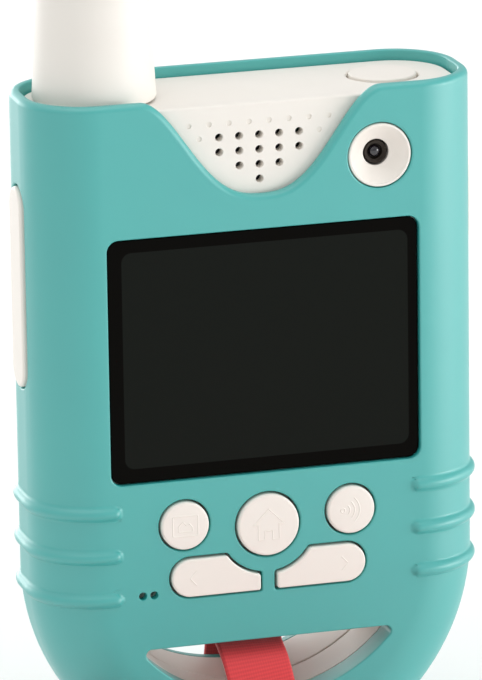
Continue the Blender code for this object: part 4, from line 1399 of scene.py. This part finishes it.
def smooth(points, share):
    """The point at a share of the way along a Catmull-Rom curve through the points."""
    spans = len(points) - 1
    span = min(int(share * spans), spans - 1)
    t = share * spans - span
    before = points[max(span - 1, 0)]
    start, end = points[span], points[span + 1]
    after = points[min(span + 2, spans)]
    slope_in = (end - before) / 2
    slope_out = (after - start) / 2
    return (
        start * (2 * t**3 - 3 * t**2 + 1)
        + slope_in * (t**3 - 2 * t**2 + t)
        + end * (3 * t**2 - 2 * t**3)
        + slope_out * (t**3 - t**2)
    )


def strap_path(steps):
    """Places along the strap, each with the ribbon's width and thickness directions."""
    places = [Vector(place) * MM for place, _ in STRAP_ROUTE]
    widths = [Vector(width) for _, width in STRAP_ROUTE]
    path = []
    for i in range(steps + 1):
        share = i / steps
        ahead = smooth(places, min(share + 0.001, 1))
        along = (ahead - smooth(places, max(share - 0.001, 0))).normalized()
        across = smooth(widths, share)
        across = (across - along * across.dot(along)).normalized()
        path.append((smooth(places, share), across, along.cross(across)))
    return path


def make_strap():
    """The woven ribbon, lofted along its route, and the stitched keeper that closes its loop."""
    sizes = bpy.context.scene.talkie_strap
    colours = bpy.context.scene.talkie_colours
    look = shared("ribbon", make_ribbon, colours)
    path = strap_path(sizes.steps)
    half, thick = sizes.width / 2, sizes.thickness / 2
    edge = thick * 0.9
    section = rounded_box(half, thick, edge, (0, 0), 4)
    bm = bmesh.new()
    sheet = bm.loops.layers.uv.new("UVMap")
    run, rings, before = 0.0, [], None
    for middle, across, out in path:
        run += (middle - before).length if before else 0.0
        before = middle
        ring = [bm.verts.new(middle + across * a + out * b) for a, b in section]
        rings.append((ring, run))
    count = len(section)
    for (first, start), (second, end) in zip(rings, rings[1:]):
        for i in range(count):
            j = (i + 1) % count
            face = bm.faces.new((first[i], first[j], second[j], second[i]))
            places = ((start, i), (start, j), (end, j), (end, i))
            for corner, (u, k) in zip(face.loops, places):
                corner[sheet].uv = (u, section[k][0])
    bm.faces.new(reversed(rings[0][0]))
    bm.faces.new(rings[-1][0])
    strap = add_object("ribbon_strap", bm, look)
    shade(strap, 60)
    middle = (KEEPER_LOW + KEEPER_HIGH) / 2
    size = (KEEPER_HIGH - KEEPER_LOW) / 2
    outline = rounded_box(size.x, size.y, 0.0011, (middle.x, middle.y), 6)
    depth = []
    for i in range(7):
        a = math.pi / 2 * i / 6
        depth.append((0.0004 * (math.sin(a) - 1), KEEPER_HIGH.z - 0.0004 * (1 - math.cos(a))))
    depth += [(grow, 2 * middle.z - z) for grow, z in reversed(depth)]
    rings = [[(x, y, z) for x, y in grown(outline, grow)] for grow, z in depth]
    keeper = add_object("ribbon_keeper", loft(rings), look)
    uv = keeper.data.uv_layers.new(name="UVMap")
    for loop in keeper.data.loops:
        at = keeper.data.vertices[loop.vertex_index].co
        uv.data[loop.index].uv = (at.x, at.z)
    shade(keeper, 40)
    thread = shared("thread", make_thread, colours)
    tree = stitch_tree()
    stitches = []
    for number, (side, row) in enumerate(((-1, -1), (-1, 1), (1, -1), (1, 1))):
        values = {
            "Count": 7,
            "Pitch": sizes.stitch_pitch,
            "Radius": 0.00016,
            "Length": 0.0008,
            "Start": (
                middle.x + row * 0.0042,
                middle.y + side * (size.y - 0.00002),
                middle.z - 3 * sizes.stitch_pitch,
            ),
            "Material": thread,
        }
        stitches.append(from_tree(f"keeper_stitches_{number}", tree, values))
    bpy.data.node_groups.remove(tree)
    joined = merge("keeper_stitches", stitches)
    for piece, slot_name, node in (
        (strap, "red_ribbon", "wrist_strap"),
        (keeper, "red_ribbon", "strap_keeper"),
        (joined, "red_ribbon", None),
    ):
        place_piece(piece, "casing", slot_name, *([node] if node else []))


def make_thread(colours):
    # Polyester sewing thread, twisted: matt, a little darker than the ribbon.
    made, tree, shader, place = new_material(
        "Polyester sewing thread",
        {"Base Color": linear("#C9383F"), "Roughness": 0.7, "Specular IOR Level": 0.3},
    )
    grain(tree, shader, place["Object"], 0.00012, 0.00003, 0.6, 0.6, 0.8)
    tint = mottled(tree, place["Object"], "#C9383F", colours.ribbon, 0.0008)
    tree.links.new(tint, shader.inputs["Base Color"])
    return made


def stitch_tree():
    """A row of stitches that runs up. Its inputs are the count, the pitch, the sizes and the row's start."""
    tree = bpy.data.node_groups.new("Stitch row", "GeometryNodeTree")
    tree.is_modifier = True
    sockets = (
        ("Count", "NodeSocketInt"),
        ("Pitch", "NodeSocketFloat"),
        ("Radius", "NodeSocketFloat"),
        ("Length", "NodeSocketFloat"),
        ("Start", "NodeSocketVector"),
        ("Material", "NodeSocketMaterial"),
    )
    for name, kind in sockets:
        tree.interface.new_socket(name, in_out="INPUT", socket_type=kind)
    tree.interface.new_socket("Geometry", in_out="OUTPUT", socket_type="NodeSocketGeometry")
    given = add_node(tree, "NodeGroupInput").outputs
    step = add_node(tree, "ShaderNodeCombineXYZ", inputs={"Z": given["Pitch"]})
    line = add_node(
        tree,
        "GeometryNodeMeshLine",
        {"mode": "OFFSET"},
        {
            "Count": given["Count"],
            "Start Location": given["Start"],
            "Offset": step.outputs["Vector"],
        },
    )
    bead = add_node(
        tree,
        "GeometryNodeMeshUVSphere",
        inputs={"Segments": 8, "Rings": 6, "Radius": 1.0},
    )
    half = add_node(
        tree, "ShaderNodeMath", {"operation": "MULTIPLY"}, {0: given["Length"], 1: 0.5}
    )
    size = add_node(
        tree,
        "ShaderNodeCombineXYZ",
        inputs={"X": given["Radius"], "Y": given["Radius"], "Z": half.outputs[0]},
    )
    copies = add_node(
        tree,
        "GeometryNodeInstanceOnPoints",
        inputs={
            "Points": line.outputs["Mesh"],
            "Instance": bead.outputs["Mesh"],
            "Scale": size.outputs["Vector"],
        },
    )
    real = add_node(
        tree, "GeometryNodeRealizeInstances", inputs={"Geometry": copies.outputs["Instances"]}
    )
    look = add_node(
        tree,
        "GeometryNodeSetMaterial",
        inputs={"Geometry": real.outputs["Geometry"], "Material": given["Material"]},
    )
    add_node(tree, "NodeGroupOutput", inputs={"Geometry": look.outputs["Geometry"]})
    return tree


def merge(name, objects):
    """One object from several meshes that share their materials."""
    bm = bmesh.new()
    looks = list(objects[0].data.materials)
    for obj in objects:
        bm.from_mesh(obj.data)
        bpy.data.objects.remove(obj)
    made = add_object(name, bm, *looks)
    made.data.shade_smooth()
    return made


def make_inner_finishes():
    """Finishes of the pieces inside, which stay as the CAD has them."""
    black = shared("black", plastic, "Moulded black ABS", "#161615", "#1C1C1A", 0.35, 0.5, 0.5)
    chip = shared("chip", plastic, "Epoxy chip package", "#1C1D1F", "#242527", 0.5, 0.65, 0.4)
    film = shared("film", plastic, "Polyimide flex film", "#B8742A", "#A86420", 0.3, 0.45, 0.5)
    wrap = shared("wrap", plastic, "Heat-shrunk battery film", "#3D5C8C", "#365380", 0.25, 0.4, 0.5)
    rubber = shared("rubber", plastic, "Moulded grey rubber", "#3A3C3E", "#323436", 0.7, 0.85, 0.3)
    panel = shared("panel", plastic, "Display module film", "#1F211F", "#232523", 0.2, 0.3, 0.5)
    steel = shared("steel", make_metal, "Nickel-plated steel", "#B4B6B8", 0.28, 0.45, 0.0004)
    copper = shared("copper", make_metal, "Drawn copper wire", "#B87445", 0.22, 0.38, 0.0003)
    board = shared("board", make_board, bpy.context.scene.talkie_colours)
    looks = {
        black: ["antenna_base", "camera_module", "speaker_frame"],
        chip: ["processor", "memory_chip"],
        film: ["display_cable"],
        wrap: ["battery_pack"],
        rubber: ["speaker_cone", "microphone_boot"],
        panel: ["display_panel"],
        copper: ["antenna_coil"],
        board: ["main_board", "power_board"],
        white_abs(): ["backlight_frame"],
        steel: ["charging_socket", "microphone", "radio_shield", "speaker_magnet"],
    }
    looks[steel] += [f"housing_screw_{number}" for number in range(1, 5)]
    looks[steel] += [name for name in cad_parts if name.endswith("_switch")]
    for look, names in looks.items():
        for name in names:
            node = bpy.data.objects[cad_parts[name].name]
            if not node.material_slots:
                node.data.materials.append(look)
            for held in node.material_slots:
                held.material = look


# Stage


def soft_light(name, place, target, size, power, tint=(1, 1, 1)):
    light = bpy.data.lights.new(name, "AREA")
    light.shape = "RECTANGLE"
    light.size, light.size_y = size
    light.energy = power
    light.color = tint
    made = bpy.data.objects.new(name, light)
    bpy.context.scene.collection.objects.link(made)
    made.location = place
    made.rotation_euler = (Vector(target) - Vector(place)).to_track_quat("-Z", "Y").to_euler()
    return made


def surround(tree):
    """Soft light from all round, with its own strength from each direction."""
    back = tree.nodes["Background"]
    back.inputs["Color"].default_value = (1, 1, 1, 1)
    place = add_node(tree, "ShaderNodeTexCoord")
    total = 0.0
    for way, strength in (
        ((0, -1, 0), 0.40),
        ((0, 1, 0), 0.60),
        ((0, 0, 1), 0.52),
        ((-1, 0, 0), 0.52),
    ):
        along = add_node(
            tree,
            "ShaderNodeVectorMath",
            {"operation": "DOT_PRODUCT"},
            {0: place.outputs["Generated"], 1: way},
        )
        facing = add_node(
            tree, "ShaderNodeMath", {"operation": "MAXIMUM"}, {0: along.outputs["Value"], 1: 0.0}
        )
        added = add_node(
            tree,
            "ShaderNodeMath",
            {"operation": "MULTIPLY_ADD"},
            {0: facing.outputs["Value"], 1: strength, 2: total},
        )
        total = added.outputs["Value"]
    tree.links.new(total, back.inputs["Strength"])


def make_stage():
    """A pale floor, an even white surround, one low soft light and the camera."""
    scene = bpy.context.scene
    bm = bmesh.new()
    bmesh.ops.create_grid(bm, x_segments=2, y_segments=2, size=4)
    # Painted floor: pale and matt, with a trace of mottling.
    look, tree, shader, place = new_material(
        "Matt painted floor",
        {
            "Base Color": linear(scene.talkie_colours.floor),
            "Roughness": 0.9,
            "Specular IOR Level": 0.1,
        },
    )
    tint = mottled(tree, place["Object"], scene.talkie_colours.floor, "#FBFBFA", 0.4)
    tree.links.new(tint, shader.inputs["Base Color"])
    floor = add_object("floor", bm, look)

    world = bpy.data.worlds.new("surround")
    world.use_nodes = True
    scene.world = world
    surround(world.node_tree)
    soft_light("top_softbox", (0, -0.1, 1.1), (0, 0, 0.06), (1.2, 1.0), 4.2)
    soft_light("right_softbox", (0.95, 0.05, 0.25), (0, 0, 0.06), (0.7, 0.5), 1.7)
    soft_light("low_softbox", (0.85, -0.5, 0.12), (0, 0, 0.06), (0.6, 0.3), 4.7)
    soft_light("rear_softbox", (-0.25, 0.9, 0.1), (0, 0, 0.03), (0.8, 0.4), 5.0)
    scene.view_settings.view_transform = "Standard"

    turn, tilt, roll = (math.radians(a) for a in (16.14, 15.4, -0.85))
    forward = Vector(
        (math.sin(turn) * math.cos(tilt), math.cos(turn) * math.cos(tilt), -math.sin(tilt))
    )
    right = Vector((math.cos(turn), -math.sin(turn), 0))
    up = Vector(
        (math.sin(turn) * math.sin(tilt), math.cos(turn) * math.sin(tilt), math.cos(tilt))
    )
    right, up = (
        right * math.cos(roll) + up * math.sin(roll),
        up * math.cos(roll) - right * math.sin(roll),
    )
    lens = bpy.data.cameras.new("camera")
    lens.lens = 342.84
    lens.sensor_width = 36
    lens.sensor_fit = "AUTO"
    lens.clip_start, lens.clip_end = 0.01, 20
    camera = bpy.data.objects.new("camera", lens)
    scene.collection.objects.link(camera)
    at = Vector((-0.00349, -0.011, 0.06323)) - forward * 0.8834
    matrix = Matrix((right, up, -forward)).transposed().to_4x4()
    matrix.translation = at
    camera.matrix_world = matrix
    scene.camera = camera


# Operators


def run(make):
    """An operator's execute, around the function that makes its pieces."""

    def execute(self, context):
        make()
        return {"FINISHED"}

    return execute


class TALKIE_OT_stage(bpy.types.Operator):
    """Adds the floor, the light and the camera."""

    bl_idname = "talkie.stage"
    bl_label = "Stage"
    execute = run(make_stage)


class TALKIE_OT_strap(bpy.types.Operator):
    """Adds the woven wrist strap and its stitched keeper."""

    bl_idname = "talkie.strap"
    bl_label = "Wrist strap"
    execute = run(make_strap)


class TALKIE_OT_sleeve(bpy.types.Operator):
    """Adds the ribbed silicone sleeve."""

    bl_idname = "talkie.sleeve"
    bl_label = "Silicone sleeve"
    execute = run(make_sleeve)


class TALKIE_OT_front_housing(bpy.types.Operator):
    """Adds the front half of the white housing, with the speaker holes."""

    bl_idname = "talkie.front_housing"
    bl_label = "Front housing"
    execute = run(make_front_housing)


class TALKIE_OT_rear_housing(bpy.types.Operator):
    """Adds the rear half of the white housing."""

    bl_idname = "talkie.rear_housing"
    bl_label = "Rear housing"
    execute = run(make_rear_housing)


class TALKIE_OT_screen(bpy.types.Operator):
    """Adds the printed cover glass."""

    bl_idname = "talkie.screen"
    bl_label = "Screen"
    execute = run(make_screen)


class TALKIE_OT_camera(bpy.types.Operator):
    """Adds the lens dish, barrel and lens."""

    bl_idname = "talkie.camera"
    bl_label = "Camera"
    execute = run(make_camera)


class TALKIE_OT_front_keys(bpy.types.Operator):
    """Adds the round keys and the arrow keys."""

    bl_idname = "talkie.front_keys"
    bl_label = "Front keys"
    execute = run(make_front_keys)


class TALKIE_OT_side_keys(bpy.types.Operator):
    """Adds the talk key, the volume rocker and the power key."""

    bl_idname = "talkie.side_keys"
    bl_label = "Side and top keys"
    execute = run(make_side_keys)


class TALKIE_OT_antenna(bpy.types.Operator):
    """Adds the antenna cover."""

    bl_idname = "talkie.antenna"
    bl_label = "Antenna"
    execute = run(make_antenna)


class TALKIE_OT_inner_finishes(bpy.types.Operator):
    """Gives the pieces inside their finishes."""

    bl_idname = "talkie.inner_finishes"
    bl_label = "Inner finishes"
    execute = run(make_inner_finishes)


OPERATORS = (
    TALKIE_OT_stage,
    TALKIE_OT_strap,
    TALKIE_OT_sleeve,
    TALKIE_OT_front_housing,
    TALKIE_OT_rear_housing,
    TALKIE_OT_screen,
    TALKIE_OT_camera,
    TALKIE_OT_front_keys,
    TALKIE_OT_side_keys,
    TALKIE_OT_antenna,
    TALKIE_OT_inner_finishes,
)


class TALKIE_PT_panel(bpy.types.Panel):
    """Lists the pieces, their sizes and their colours."""

    bl_label = "Walkie Talkie"
    bl_idname = "TALKIE_PT_panel"
    bl_space_type = "VIEW_3D"
    bl_region_type = "UI"
    bl_category = "Walkie Talkie"

    def draw(self, context):
        for operator in OPERATORS:
            self.layout.operator(operator.bl_idname)
        for name, group in GROUPS.items():
            holder = getattr(context.scene, name)
            column = self.layout.box().column()
            for key in group.__annotations__:
                column.prop(holder, key)


def register():
    for group in GROUPS.values():
        bpy.utils.register_class(group)
    for name, group in GROUPS.items():
        setattr(bpy.types.Scene, name, PointerProperty(type=group))
    for operator in OPERATORS:
        bpy.utils.register_class(operator)
    bpy.utils.register_class(TALKIE_PT_panel)


def unregister():
    bpy.utils.unregister_class(TALKIE_PT_panel)
    for operator in reversed(OPERATORS):
        bpy.utils.unregister_class(operator)
    for name in GROUPS:
        delattr(bpy.types.Scene, name)
    for group in reversed(list(GROUPS.values())):
        bpy.utils.unregister_class(group)


def main():
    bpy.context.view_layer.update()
    register()
    bpy.ops.talkie.stage()
    bpy.ops.talkie.strap()
    bpy.ops.talkie.sleeve()
    bpy.ops.talkie.front_housing()
    bpy.ops.talkie.rear_housing()
    bpy.ops.talkie.screen()
    bpy.ops.talkie.camera()
    bpy.ops.talkie.front_keys()
    bpy.ops.talkie.side_keys()
    bpy.ops.talkie.antenna()
    bpy.ops.talkie.inner_finishes()


if __name__ == "__main__":
    main()
